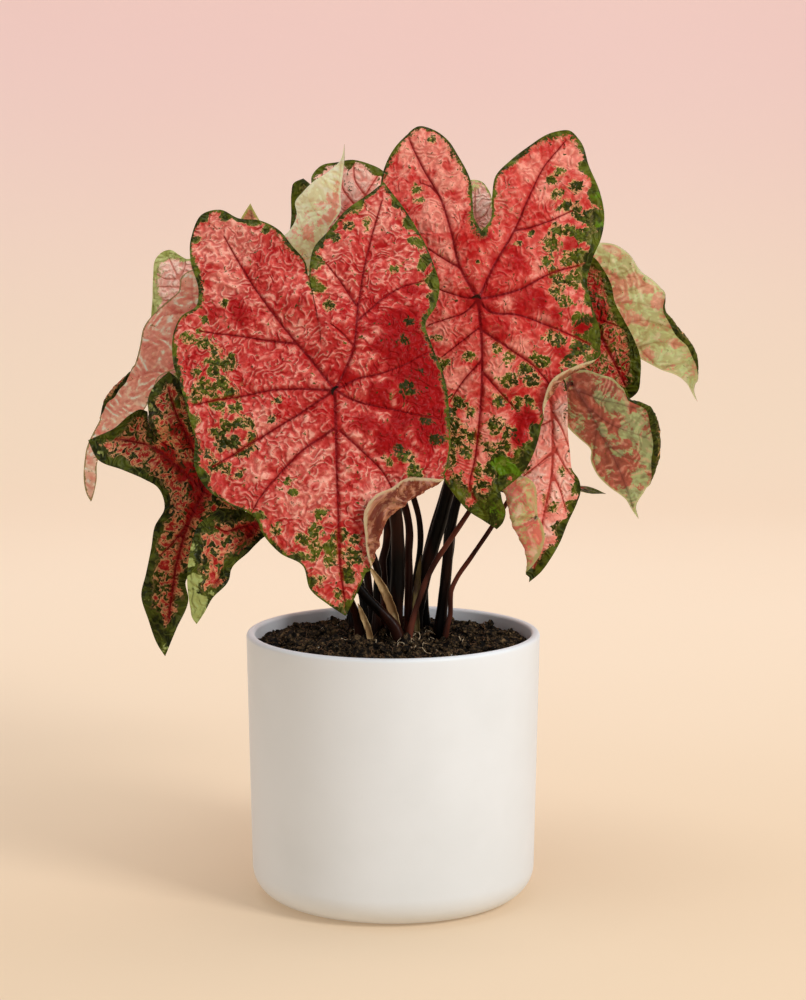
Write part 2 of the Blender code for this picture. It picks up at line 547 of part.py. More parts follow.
def stem_route(base, points, hub, up):
    """A stem's route: up from the tuber through the soil, past its points and into the hub."""
    up = unit(up)
    foot = tuber_top(*base) - TUBER_SOCKET
    end = np.array(hub, float) - (BLADE_THICK / 2 + STEM_GAP) * up
    neck = end - NECK * up
    return [(*base, foot), (*base, SOIL_EDGE + SOIL_MOUND)] + list(points) + [tuple(neck), tuple(end)]


def cut(piece, cutters):
    """Cut each of the cutters out of a piece."""
    for cutter in cutters:
        step = piece.modifiers.new(cutter.name, "BOOLEAN")
        step.operation = "DIFFERENCE"
        step.solver = "EXACT"
        step.object = cutter


def main():
    for old in list(bpy.data.objects):
        bpy.data.objects.remove(old, do_unlink=True)

    build_pot(material("pot", WHITE_CERAMIC, 0.45))
    soil = build_soil(material("soil", SOIL_BROWN, 0.95))
    tuber = build_tuber("tuber", 0.0, material("tuber", TUBER_BROWN, 0.85))
    room = build_tuber("tuber_room", GAP, None)
    room.display_type = "WIRE"
    room.hide_render = True

    blades = {name: dict(blade) for name, blade in BLADES.items()}
    for name, grown in BACK_BLADES.items():
        up, margin = heart_margin(grown["reach"], grown["heading"], grown["slope"], grown["droop"])
        blades[name] = dict(hub=grown["hub"], up=up, margin=margin)

    cutters = [room]
    for name, blade in blades.items():
        look = material("blade_" + name, BLADE_COLOURS.get(name, CORAL), 0.45)
        build_blade("blade_" + name, blade["hub"], blade["up"], blade["margin"], look)
        base, points, thick, thin, colour = STEMS[name]
        route = smooth_route(stem_route(base, points, blade["hub"], blade["up"]), 2)
        radii = thick + (thin - thick) * np.linspace(0, 1, len(route))
        look = material("stem_" + name, colour, 0.5)
        tube("stem_" + name, route, radii, look, last_normal=unit(blade["up"]))
        cutters.append(bore_cutter("bore_" + name, route, radii))

    for name, (points, widest, colour) in SHEATHS.items():
        x, y, z = points[0]
        route = smooth_route([(x, y, z - SHEATH_FOOT)] + points, 2)
        share = np.linspace(0, 1, len(route))
        radii = widest * (0.75 + 0.25 * share) * np.cos(share**3 * math.pi * 0.48)
        tube(name, route, radii, material(name, colour, 0.7), flat=SHEATH_FLAT)
        cutters.append(bore_cutter("bore_" + name, route, radii, flat=SHEATH_FLAT))

    cut(soil, cutters)
    cut(tuber, cutters[1:])


main()
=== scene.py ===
"""Dresses the potted caladium: veined and mottled blades, stems, sheaths, soil and a fine pot.

Lengths are millimetres unless a comment says otherwise, and meshes are made in metres.
Blades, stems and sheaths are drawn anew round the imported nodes: each blade keeps its node's margin
and hub, each stem and sheath its node's rings. Pixel coordinates are read in the 806 by 1000 photo.
"""

import json
import math

import bpy
import numpy as np
from mathutils.geometry import delaunay_2d_cdt
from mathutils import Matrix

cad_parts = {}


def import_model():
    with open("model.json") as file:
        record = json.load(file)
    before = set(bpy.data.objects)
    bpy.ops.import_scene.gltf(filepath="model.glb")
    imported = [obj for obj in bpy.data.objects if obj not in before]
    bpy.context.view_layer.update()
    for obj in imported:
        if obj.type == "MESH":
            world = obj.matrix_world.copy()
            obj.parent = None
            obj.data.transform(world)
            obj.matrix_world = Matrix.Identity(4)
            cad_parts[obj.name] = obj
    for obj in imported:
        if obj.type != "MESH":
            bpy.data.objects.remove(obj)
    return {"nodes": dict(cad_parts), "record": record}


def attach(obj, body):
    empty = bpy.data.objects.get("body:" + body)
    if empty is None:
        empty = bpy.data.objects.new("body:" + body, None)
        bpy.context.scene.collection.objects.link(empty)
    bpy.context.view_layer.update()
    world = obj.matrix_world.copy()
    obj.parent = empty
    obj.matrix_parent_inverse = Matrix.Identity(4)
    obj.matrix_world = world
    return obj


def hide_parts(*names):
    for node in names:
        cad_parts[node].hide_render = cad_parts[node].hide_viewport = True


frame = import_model()
bpy.context.view_layer.update()

MM = 0.001
SLOTS = {row["node"]: row["material_slot"] for row in frame["record"]["subparts"]}

# Camera, as the photo was taken
CAMERA_AT = (5.7, -1500.0, 441.0)
CAMERA_PITCH = math.radians(7.95)
FOCAL_PIXELS = 2630.0
PHOTO_WIDE = 806
PHOTO_HIGH = 1000
SENSOR = 36.0

# Pot, as in the part's source
POT_HEIGHT = 155.0
RIM_RADIUS = 85.0
BODY_RADIUS = 82.3
CORNER_RADIUS = 18.0
WALL = 5.0
FLOOR = 8.0
LIP_ROUND = 2.2
INNER_LIP = 0.8 * LIP_ROUND
FOOT_INSET = 4.0
SHOULDER = 148.0
INNER_HEIGHTS = (SHOULDER, 120, 90, 60, 30)
POT_SIDES = 160

# Potting soil
SOIL_EDGE = 147.5
SOIL_MOUND = 5.0
SOIL_GAP = 0.35
SOIL_FOOT = FLOOR + SOIL_GAP + 0.3
SOIL_BODY = (130, 90, 50, FLOOR + 14, FLOOR + 5, SOIL_FOOT)
SOIL_RINGS = 84
SOIL_SIDES = 230
CLODS = 190
CRUMBS = 1700
PERLITE = 60
ROOTS = 34
FIBRES = 150
STEM_FOOT = (2, -12)
THREAD_SIDES = 4
LUMP_ENDS = 6
LUMP_MIDDLE = 8
LUMP_POINTS = 2 + 2 * LUMP_ENDS + LUMP_MIDDLE

# Blades
BLADE_HALF = 0.24
EDGE_HALF = 0.12
SEAT = 6.0
STEM_SEAT = 0.95
LATTICE = 1.4
FINE_LATTICE = 1.0
NODE_SIDES = 7
STEM_SIDES = 14
SHEATH_SIDES = 22
BLADE_SHARP = 70
TUCK_THICK = 0.3
VEIN_STEP = 1.5
NUDGE = 0.6
SHARP_TURN = math.radians(62)
PATTERN_APART = 37.0

# Half widths of the veins, from the thinnest up, and how their patterns are told apart
MIDRIB_HALF = 0.85
VEIN_HALF = 0.75
THIN_HALF = 0.35
VEIN_GROWTH = 160
VEIN_APART = 31.0
LONGEST_LEAD = 60.0

# Wrinkles across the ways out from the hub, in the bump and as painted highlights and shade, and light that
# undersides let through
RIPPLES_PER_MM = 0.17
UNDER_GLOW = 0.95
UNDER_REACH = 0.0018

# Relief of the upper faces: valleys along the veins, ribs between them, swells and crinkle
VALLEY_DEEP = 0.45
VALLEY_WIDE = 1.1
VALLEY_REACH = 6.5
PINNATE_RISE = 0.35
PINNATE_STEP = 9.5
SWELL_RISE = 0.45
RIPPLE_RISE = 0.22
CRINKLE_RISE = 0.65
CRINKLE_LEVEL = 0.4
CRINKLE_SHORT = 5.6
CRINKLE_LONG = 10.0
CRINKLE_LOOSE = 6.6
CRINKLE_DRIFT = 1.8
BACKWARD = 0.75

# Primary veins that the photo shows, from the hub or the branching point outwards, in pixels
VEINS = {
    "front_left": [
        [(335, 390), (336, 427), (338, 503), (340, 560), (345, 608)],
        [(335, 390), (297, 343), (272, 312), (239, 262), (224, 236)],
        [(297, 343), (262, 339), (230, 334), (200, 330)],
        [(335, 390), (275, 389), (236, 396), (202, 402), (193, 404)],
        [(335, 390), (308, 407), (281, 424), (250, 443), (213, 466)],
        [(336, 427), (306, 447), (284, 468), (264, 491), (250, 512)],
        [(340, 430), (362, 450), (384, 472), (394, 490)],
        [(335, 390), (362, 402), (390, 408), (413, 413), (438, 418)],
        [(335, 390), (356, 379), (380, 373), (400, 366), (432, 350)],
        [(335, 390), (354, 346), (358, 306), (368, 250), (382, 200)],
        [(357, 320), (385, 296), (402, 286), (424, 280)],
        [(358, 306), (340, 280), (326, 262)],
        [(354, 346), (340, 330), (330, 322)],
    ],
    "front_right": [
        [(478, 299), (481, 332), (482, 371), (480, 411), (475, 458), (470, 489), (484, 515)],
        [(478, 299), (460, 267), (450, 228), (439, 195), (424, 170), (410, 140), (402, 96)],
        [(478, 299), (493, 267), (514, 230), (530, 194), (544, 166), (566, 140)],
        [(514, 230), (532, 226), (548, 221), (572, 210)],
        [(478, 299), (516, 290), (553, 272), (590, 262)],
        [(478, 299), (490, 311), (516, 314), (553, 327), (576, 337), (590, 344)],
        [(482, 330), (516, 353), (534, 366), (545, 379), (552, 388)],
        [(478, 299), (461, 296), (442, 290), (424, 282)],
        [(478, 299), (464, 312), (445, 319), (428, 325)],
        [(478, 328), (460, 342), (441, 357)],
        [(459, 267), (445, 259), (432, 251), (416, 240)],
        [(439, 195), (430, 186), (420, 182)],
        [(482, 371), (500, 392), (516, 410)],
        [(481, 360), (462, 382), (450, 400)],
    ],
    "left_low": [
        [(204, 490), (190, 520), (178, 560), (172, 600), (167, 645)],
        [(204, 490), (194, 452), (180, 420), (168, 388)],
        [(204, 490), (180, 470), (155, 449), (130, 440), (98, 439)],
        [(190, 520), (176, 540), (160, 556)],
    ],
    "left_small": [
        [(258, 523), (242, 547), (222, 574), (206, 602), (197, 622)],
        [(258, 523), (240, 527), (225, 531), (212, 524)],
        [(242, 547), (236, 560), (230, 572)],
    ],
    "right_droop": [
        [(572, 382), (590, 410), (606, 440), (622, 474), (634, 506)],
        [(574, 388), (600, 398), (624, 404), (640, 408)],
        [(586, 404), (606, 420), (634, 432), (650, 438)],
        [(598, 424), (596, 440), (594, 456)],
        [(606, 440), (624, 455), (646, 462)],
    ],
    "right_hang": [
        [(550, 392), (552, 430), (552, 470), (545, 510), (538, 545), (532, 575)],
        [(551, 410), (562, 430), (568, 446)],
        [(552, 440), (562, 462), (574, 480)],
        [(551, 470), (560, 490), (566, 512)],
        [(551, 420), (540, 425), (526, 428)],
        [(552, 452), (536, 466), (520, 478)],
    ],
    "right_red": [
        [(583, 308), (600, 336), (616, 366), (628, 394)],
        [(583, 308), (582, 286), (582, 262)],
        [(583, 308), (570, 290), (560, 275)],
        [(590, 318), (606, 322), (622, 328)],
        [(583, 308), (572, 330), (566, 352)],
    ],
}

# Green clusters on the upper faces: pixel across, pixel down, radius in pixels
GREEN = {
    "front_left": [
        (215, 350, 8), (228, 364, 10), (222, 385, 10), (206, 388, 11), (185, 338, 7), (205, 319, 4),
        (226, 303, 4), (318, 262, 8), (317, 286, 9), (331, 306, 7), (394, 268, 6), (409, 322, 6),
        (405, 340, 6), (406, 389, 11), (366, 222, 6), (347, 225, 6), (356, 206, 9), (336, 238, 6),
        (220, 406, 8), (243, 423, 10), (224, 443, 9), (251, 447, 6), (239, 475, 6), (277, 400, 5),
        (271, 419, 4), (204, 478, 8), (201, 500, 6), (288, 482, 4), (294, 494, 5), (321, 513, 7),
        (314, 531, 9), (316, 549, 11), (349, 553, 9), (352, 540, 6), (316, 580, 7), (338, 592, 6),
        (277, 529, 6), (263, 515, 5), (406, 458, 9), (415, 471, 9), (390, 462, 5), (437, 440, 8),
        (225, 217, 5, 2.0), (240, 219, 5, 2.0), (255, 223, 5, 2.0), (266, 231, 4, 2.0), (205, 218, 4, 1.6),
        (345, 208, 5, 1.6), (360, 196, 5, 2.0), (372, 190, 4, 2.0), (196, 240, 4, 1.4), (194, 280, 4, 1.4),
        (345, 606, 6), (200, 330, 5), (196, 372, 6), (196, 420, 6), (397, 203, 6, 1.8), (407, 222, 6, 1.9),
        (417, 243, 6, 1.9), (424, 262, 7, 1.9), (432, 282, 8, 1.9), (436, 300, 8, 1.6), (340, 536, 9, 1.3),
        (330, 548, 8, 1.2), (212, 372, 8, 1.2), (232, 392, 8, 1.2), (216, 432, 7, 1.2), (234, 440, 7, 1.2),
        (208, 455, 6), (226, 470, 6), (203, 342, 8), (216, 362, 9, 1.1), (196, 394, 8), (216, 398, 8, 1.1),
        (234, 410, 8), (226, 428, 8, 1.1), (242, 452, 8), (214, 466, 8), (250, 436, 7), (304, 540, 8, 1.1),
        (330, 560, 8), (300, 556, 7), (346, 572, 8, 1.2), (360, 560, 6), (425, 420, 7, 1.2), (398, 452, 7),
    ],
    "front_right": [
        (557, 195, 7), (560, 172, 6), (576, 209, 7), (592, 219, 12, 1.6), (588, 235, 12, 1.6),
        (559, 231, 9), (551, 244, 10), (532, 233, 4), (519, 243, 4), (568, 260, 9), (552, 271, 7),
        (573, 278, 11), (559, 286, 9), (583, 270, 10), (564, 302, 8), (576, 319, 7), (552, 333, 8),
        (560, 341, 8), (581, 346, 14), (570, 361, 10), (541, 362, 8), (497, 348, 6), (509, 380, 9),
        (532, 380, 9), (468, 357, 6), (444, 364, 7), (437, 338, 5), (461, 405, 7), (465, 435, 9),
        (497, 426, 9), (502, 450, 10), (504, 467, 15, 3.0), (520, 462, 12, 1.6), (481, 485, 9),
        (468, 492, 9), (456, 480, 7), (488, 505, 14, 2.2), (498, 516, 10, 2.2), (588, 165, 8, 1.8),
        (597, 195, 9, 2.2), (600, 225, 7, 2.4), (597, 250, 7, 2.0), (420, 200, 5), (433, 140, 4),
        (443, 120, 5), (452, 410, 6), (478, 262, 3), (440, 440, 7), (528, 400, 7), (540, 440, 8),
        (586, 320, 7), (590, 300, 7), (416, 190, 6), (410, 226, 5), (476, 437, 8), (466, 452, 8, 1.1),
        (455, 402, 8), (452, 424, 9, 1.1), (458, 440, 8, 1.1), (450, 458, 8, 1.1), (500, 400, 8),
        (508, 432, 8, 1.1), (492, 424, 7), (470, 412, 6), (516, 404, 7), (508, 356, 7), (526, 368, 8),
        (488, 448, 7), (490, 470, 8, 1.2), (478, 470, 7), (536, 432, 7, 1.6), (530, 450, 7, 2.0),
        (570, 230, 8, 1.2), (566, 205, 8, 1.2), (552, 180, 6), (574, 186, 7, 1.2), (548, 262, 7),
        (582, 255, 9, 1.4), (588, 282, 8, 1.4), (592, 335, 8, 1.8),
    ],
    "left_low": [
        (153, 388, 8, 2.2), (150, 408, 7, 2.4), (152, 426, 7), (172, 376, 8), (176, 400, 6),
        (100, 456, 8, 2.2), (118, 466, 9, 1.8), (138, 474, 8, 1.8), (92, 446, 5, 2.0), (160, 500, 9),
        (156, 530, 10), (152, 560, 12), (150, 590, 12), (154, 620, 12, 1.4), (166, 642, 12, 2.0),
        (146, 600, 7, 1.8), (148, 575, 6, 1.6), (184, 580, 8), (186, 610, 10), (172, 565, 7), (176, 600, 7),
        (182, 390, 7), (190, 420, 6), (216, 500, 7),
    ],
    "left_small": [
        (222, 516, 9, 1.8), (206, 526, 9, 1.8), (195, 546, 9, 2.2), (200, 566, 10), (196, 580, 11),
        (189, 562, 8, 3.0), (193, 580, 10, 3.4), (197, 604, 16, 3.6), (195, 590, 10, 2.4),
        (199, 624, 13, 3.6), (198, 620, 8), (212, 592, 9), (222, 575, 6), (236, 518, 7), (228, 540, 5),
        (214, 552, 5), (252, 516, 4), (238, 566, 5), (250, 550, 4),
    ],
    "top_red": [
        (296, 190, 12), (292, 205, 9), (310, 170, 7), (318, 166, 7), (350, 163, 5), (378, 170, 7),
        (312, 200, 6),
    ],
    "right_red": [
        (600, 262, 9), (612, 290, 8), (624, 322, 8), (634, 345, 8), (636, 370, 8), (628, 392, 8),
        (610, 395, 7), (566, 268, 5), (552, 290, 5), (600, 330, 7), (610, 350, 6), (590, 300, 5),
    ],
    "right_hang": [
        (529, 578, 9), (536, 566, 11), (548, 556, 9), (580, 486, 8), (572, 505, 6), (552, 508, 6),
        (546, 498, 5), (560, 470, 5), (560, 530, 7), (520, 500, 5), (528, 470, 5),
    ],
    "notch": [(484, 232, 6), (476, 186, 5)],
    "left_back": [(154, 300, 6), (160, 256, 6), (206, 270, 6)],
}

# Crimson areas, deeper than the rest of the blade
DEEP = {
    "front_left": [
        (405, 330, 28, 0.9), (420, 372, 36, 1.0), (432, 418, 28, 1.0), (418, 385, 20, 0.6), (425, 350, 16),
        (432, 436, 16), (395, 345, 20), (400, 420, 14), (412, 325, 13, 0.8), (345, 378, 9, 0.8),
        (366, 424, 12, 0.6), (388, 440, 14, 0.8), (365, 330, 9, 0.5), (410, 290, 10, 0.5),
        (336, 418, 5, 0.6), (216, 312, 8, 0.5), (370, 300, 8, 0.4), (440, 410, 14, 0.9), (330, 372, 6, 0.6),
        (380, 395, 16, 0.7), (400, 446, 14, 0.6), (240, 312, 12, 0.5), (236, 296, 8, 0.4),
        (300, 300, 7, 0.4),
    ],
    "front_right": [
        (482, 236, 8, 0.9), (527, 420, 14, 0.8), (520, 436, 10, 0.8), (584, 325, 10), (570, 245, 8, 0.5),
        (478, 298, 7, 0.6), (438, 320, 6, 0.4), (560, 350, 8, 0.6), (494, 260, 7, 0.4), (540, 302, 8, 0.7),
        (468, 215, 6, 0.5), (556, 245, 6, 0.4), (574, 350, 8, 0.6), (484, 320, 6, 0.5), (506, 250, 6, 0.4),
        (482, 296, 18, 0.45), (528, 300, 18, 0.5), (516, 262, 12, 0.4), (552, 318, 14, 0.5),
        (500, 330, 12, 0.4),
    ],
    "left_low": [
        (200, 486, 16), (184, 470, 12), (168, 455, 10), (194, 510, 9), (188, 440, 8), (176, 430, 6),
    ],
    "left_small": [(252, 528, 8), (240, 548, 6)],
    "right_red": [(580, 300, 20), (572, 330, 14), (600, 310, 10)],
    "right_hang": [(512, 500, 6), (552, 392, 10)],
    "top_red": [(294, 197, 5), (350, 212, 9)],
}

# Pale salmon areas
PALE = {
    "front_left": [
        (225, 240, 28, 1.9), (225, 285, 18, 1.4), (300, 450, 34, 0.7), (210, 250, 14, 1.4),
        (376, 225, 14, 1.2), (262, 425, 18), (300, 500, 22), (355, 440, 12), (270, 320, 10), (330, 250, 10),
        (384, 210, 18), (330, 480, 20), (258, 470, 14), (330, 570, 14), (370, 500, 12), (230, 255, 18),
        (296, 330, 10), (378, 330, 6), (335, 275, 8),
    ],
    "front_right": [
        (420, 150, 22, 1.9), (440, 215, 20, 1.5), (408, 115, 18, 1.6), (448, 255, 14), (460, 180, 14, 1.2),
        (440, 182, 13, 2.0), (430, 162, 11, 1.7), (570, 160, 18, 1.3), (450, 150, 14, 1.2), (545, 190, 14),
        (530, 170, 14), (440, 330, 14), (460, 380, 14), (500, 370, 14), (520, 345, 10), (470, 420, 10),
        (538, 270, 8), (480, 438, 14, 2.0), (472, 420, 12, 1.6), (486, 460, 12, 1.6), (584, 190, 8),
        (560, 215, 8), (440, 290, 10), (510, 300, 8), (500, 420, 8), (545, 320, 8),
    ],
    "left_small": [(232, 520, 10), (216, 540, 8), (230, 556, 8), (208, 568, 6)],
    "left_low": [(148, 440, 9), (112, 450, 8), (170, 540, 6), (166, 590, 6), (176, 625, 5), (168, 415, 6)],
    "right_hang": [(560, 420, 20), (556, 490, 14), (546, 530, 10), (530, 480, 12), (524, 520, 10)],
    "top_red": [(350, 185, 24), (320, 182, 8)],
    "notch": [(482, 205, 16)],
    "left_back": [(165, 275, 20), (190, 290, 20)],
    "right_red": [(596, 300, 5), (575, 350, 6), (612, 360, 6)],
}

# Undersides that the photo shows: leaf-coloured areas, and rosy ones
UNDER_LEAFY = {
    "top_pale": [
        (300, 208, 9), (310, 196, 9), (322, 184, 9), (334, 172, 7), (342, 158, 6), (322, 236, 9),
        (330, 246, 6), (316, 250, 8), (306, 196, 8),
    ],
    "right_far": [
        (612, 262, 9), (624, 268, 10), (640, 300, 13), (654, 316, 10), (650, 336, 12), (668, 350, 14),
        (684, 366, 9), (690, 382, 7), (640, 330, 9), (672, 334, 9), (600, 250, 6), (662, 362, 8),
    ],
    "right_droop": [
        (612, 402, 9), (622, 408, 9), (636, 420, 9), (646, 440, 10), (648, 460, 10), (640, 478, 10),
        (636, 496, 12), (628, 432, 6), (604, 428, 5), (620, 452, 5), (600, 396, 6), (634, 504, 8),
    ],
    "left_under": [(92, 470, 10), (90, 488, 8), (140, 400, 5), (118, 420, 5)],
    "top_left": [(238, 240, 5)],
    "right_hang": [(514, 462, 8), (524, 480, 10), (530, 505, 9), (532, 530, 6)],
}
UNDER_ROSY = {
    "top_pale": [(336, 200, 8), (330, 216, 8), (312, 232, 9), (284, 250, 8), (292, 262, 9), (322, 206, 6)],
    "right_far": [
        (612, 246, 7), (634, 280, 8), (646, 290, 7), (622, 292, 9), (634, 318, 8), (644, 322, 6),
        (658, 300, 7), (676, 342, 6), (664, 372, 6), (622, 320, 8), (650, 352, 6),
    ],
    "right_droop": [
        (582, 384, 10), (588, 402, 10), (576, 396, 8), (600, 414, 8), (612, 424, 9), (598, 436, 9),
        (592, 424, 8), (608, 462, 9), (620, 464, 9), (604, 452, 8), (622, 478, 8), (628, 442, 5),
        (600, 470, 6), (610, 486, 5),
    ],
    "left_under": [(170, 310, 20), (150, 350, 16), (178, 290, 14), (142, 380, 12), (124, 405, 9)],
    "right_hang": [(512, 505, 7), (520, 522, 7), (508, 480, 6), (526, 548, 6), (520, 465, 4)],
    "top_left": [(250, 214, 9)],
}

# Stretches of margin without a green edge
BARE = {
    "front_left": [(313, 322, 14), (316, 345, 12), (311, 300, 10), (304, 284, 7)],
    "left_low": [(165, 447, 8), (175, 452, 8)],
    "right_hang": [(568, 400, 9), (573, 420, 9), (575, 440, 9), (577, 460, 9)],
}

FIELDS = {
    "green": GREEN, "deep": DEEP, "pale": PALE, "leafy": UNDER_LEAFY, "rosy": UNDER_ROSY, "bare": BARE,
}

# Slits where one lobe passes behind the other: the way along it, the strip's width and its drop
TUCKS = {
    "front_left": dict(pixels=[(309, 274), (314, 300), (319, 325), (322, 352)], width=9.0, drop=0.8),
    "left_low": dict(pixels=[(148, 414), (150, 424), (158, 438), (178, 454)], width=8.0, drop=1.2),
}
TUCK_ROWS = 7

# Rolled margins: crease from one pixel to another along the margin, widest part of the roll,
# its radius, how far it turns in degrees, and 1 where it rolls to the upper side or -1 under
ROLLS = {
    "front_left": [dict(start=(364, 572), end=(444, 474), width=17, radius=1.6, turn=168, side=1)],
    "front_right": [dict(start=(602, 350), end=(541, 424), width=6.5, radius=1.2, turn=150, side=1)],
    "right_hang": [dict(start=(510, 440), end=(529, 578), width=21, radius=1.5, turn=168, side=1)],
    "right_droop": [dict(start=(624, 386), end=(648, 488), width=7, radius=1.2, turn=165, side=-1)],
    "right_far": [dict(start=(660, 290), end=(698, 384), width=6, radius=1.2, turn=165, side=-1)],
    "left_under": [dict(start=(134, 364), end=(100, 420), width=6, radius=1.2, turn=160, side=-1)],
}

# Each blade's looks: upper face, underside, width of the green margin, depth of its quilting, how
# far apart its points lie, and the green, deep and pale shares that it starts from
STYLES = {
    "front_left": dict(upper="coral", under="tan", rim=2.6, quilt=1.25, lattice=FINE_LATTICE),
    "front_right": dict(upper="rosy", under="tan", rim=3.4, quilt=1.1, lattice=FINE_LATTICE),
    "left_low": dict(upper="dark", under="green_grey", rim=3.8, quilt=1.0, green=0.45),
    "left_small": dict(upper="dark", under="green_grey", rim=4.0, quilt=0.8, green=0.35),
    "left_under": dict(upper="dark", under="rose", rim=1.6, quilt=0.7, green=0.5),
    "left_back": dict(upper="blush", under="rose", rim=4.0, quilt=0.5),
    "top_pale": dict(upper="dark", under="pistachio", rim=1.6, quilt=0.5),
    "top_red": dict(upper="pink", under="rose", rim=3.4, quilt=0.8, pale=0.8),
    "top_left": dict(upper="dark", under="moss", rim=2.2, quilt=0.6, green=0.3),
    "notch": dict(upper="blush", under="rose", rim=2.0, quilt=0.5),
    "right_far": dict(upper="dark", under="sage", rim=2.2, quilt=0.6, green=1.0),
    "right_red": dict(upper="coral", under="rose", rim=4.6, quilt=1.0, green=0.45, deep=0.3),
    "right_droop": dict(upper="dark", under="rose_green", rim=2.2, quilt=0.6, green=1.0),
    "right_hang": dict(upper="pink", under="blush", rim=2.4, quilt=0.8),
    "back_centre": dict(upper="coral", under="rose", rim=3.0, quilt=0.9, green=0.25),
    "back_left": dict(upper="coral", under="rose", rim=3.4, quilt=0.9, green=0.3),
    "back_right": dict(upper="coral", under="rose", rim=3.4, quilt=0.9, green=0.25),
    "back_low": dict(upper="coral", under="rose", rim=3.0, quilt=0.8, green=0.35),
    "back_left_low": dict(upper="coral", under="rose", rim=3.0, quilt=0.7, green=0.35),
    "back_right_low": dict(upper="dark", under="green_grey", rim=3.0, quilt=0.5, green=1.5),
}


def rgb(red, green, blue):
    """A colour read from the photo, 0 to 255 a channel, as the linear values that nodes take."""
    shares = [value / 255 for value in (red, green, blue)]
    return tuple(s / 12.92 if s < 0.04045 else ((s + 0.055) / 1.055) ** 2.4 for s in shares)


def unit(vector):
    """The same direction with a length of one."""
    vector = np.asarray(vector, float)
    return vector / np.linalg.norm(vector)


def unit_rows(vectors):
    """Each row of an array made one long."""
    return vectors / np.linalg.norm(vectors, axis=1)[:, None]


def smooth(low, high, value):
    """0 below low, 1 above high, and a soft step between."""
    share = np.clip((value - low) / (high - low), 0.0, 1.0)
    return share * share * (3 - 2 * share)


def project(points):
    """Photo pixels of points in the air."""
    sin, cos = math.sin(CAMERA_PITCH), math.cos(CAMERA_PITCH)
    away = np.asarray(points, float) - np.array(CAMERA_AT)
    depth = away[:, 1] * cos - away[:, 2] * sin
    rise = away[:, 1] * sin + away[:, 2] * cos
    across = PHOTO_WIDE / 2 + FOCAL_PIXELS * away[:, 0] / depth
    return np.stack([across, PHOTO_HIGH / 2 - FOCAL_PIXELS * rise / depth], axis=1)


def waves(points, size, seed, count=9):
    """Soft random waves, about -1 to 1, whose crests lie about a size apart."""
    draw = np.random.default_rng(seed)
    total = np.zeros(len(points))
    dims = points.shape[1]
    for _ in range(count):
        way = unit(draw.normal(size=dims)) * 2 * math.pi / (size * draw.uniform(0.75, 1.45))
        total += np.sin(points @ way + draw.uniform(0, 2 * math.pi))
    return total / math.sqrt(count / 2) / 1.6


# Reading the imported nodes


def node_mesh(name):
    """Points of a CAD node, those that lie together made one, and its triangles."""
    mesh = frame["nodes"][name].data
    mesh.calc_loop_triangles()
    raw = np.array([tuple(vertex.co) for vertex in mesh.vertices]) / MM
    triangles = np.array([tuple(triangle.vertices) for triangle in mesh.loop_triangles])
    points, index = np.unique(np.round(raw, 2), axis=0, return_inverse=True)
    return points, index.reshape(-1)[triangles]


def rings_of(name):
    """The rings of a tube-shaped node from its foot up, each an array of points in turn."""
    points, triangles = node_mesh(name)
    beside = [set() for _ in points]
    for a, b, c in triangles:
        beside[a] |= {b, c}
        beside[b] |= {a, c}
        beside[c] |= {a, b}
    ring = set(np.argsort(points[:, 2])[:NODE_SIDES].tolist())
    seen = set(ring)
    rings = []
    while ring:
        rings.append(points[sorted(ring)])
        ring = set().union(*(beside[k] for k in ring)) - seen
        seen |= ring
    return [ring for ring in rings if len(ring) == NODE_SIDES]


def margin_of(name):
    """The middle of a blade node's thin edge, as points in turn round the blade."""
    points, triangles = node_mesh(name)
    pair_of = {}
    middles = []
    for triangle in triangles:
        for a, b in ((triangle[0], triangle[1]), (triangle[1], triangle[2]), (triangle[2], triangle[0])):
            if a not in pair_of and np.linalg.norm(points[a] - points[b]) < 1.0:
                pair_of[a] = pair_of[b] = len(middles)
                middles.append((points[a] + points[b]) / 2)
    beside = {k: set() for k in range(len(middles))}
    for triangle in triangles:
        ends = [pair_of.get(k) for k in triangle]
        if None not in ends and len(set(ends)) == 2:
            first, second = set(ends)
            beside[first].add(second)
            beside[second].add(first)
    loop = [0]
    while True:
        onward = [k for k in beside[loop[-1]] if k not in loop[-2:]]
        if not onward or onward[0] == 0 or len(loop) > len(middles):
            break
        loop.append(onward[0])
    return np.array(middles)[loop]


# Flat geometry


def inside(points, outline):
    """Which flat points lie inside a closed outline."""
    x, y = points[:, 0], points[:, 1]
    within = np.zeros(len(points), bool)
    for a, b in zip(outline, np.roll(outline, -1, axis=0)):
        rise = b[1] - a[1] if b[1] != a[1] else 1.0
        within ^= ((a[1] > y) != (b[1] > y)) & (x < a[0] + (y - a[1]) * (b[0] - a[0]) / rise)
    return within


def nearest_on(points, path, closed=False):
    """For each flat point: distance to a path, place along it, and offset from its line."""
    ends = np.roll(path, -1, axis=0) if closed else path[1:]
    starts = path if closed else path[:-1]
    distance = np.full(len(points), np.inf)
    along = np.zeros(len(points))
    offset = np.zeros(len(points))
    walked = 0.0
    for order, (a, b) in enumerate(zip(starts, ends)):
        run = b - a
        length = np.linalg.norm(run) + 1e-9
        free = ((points - a) @ run) / (length * length)
        share = np.clip(free, 0, 1)
        apart = np.linalg.norm(points - a - share[:, None] * run, axis=1)
        aside = np.abs((points - a) @ np.array([-run[1], run[0]])) / length
        past = (free > 1) & (order == len(starts) - 1)
        closer = apart < distance
        distance[closer] = apart[closer]
        along[closer] = walked + np.where(past, free, share)[closer] * length
        offset[closer] = np.where(past, aside, apart)[closer]
        walked += length
    return distance, along, offset


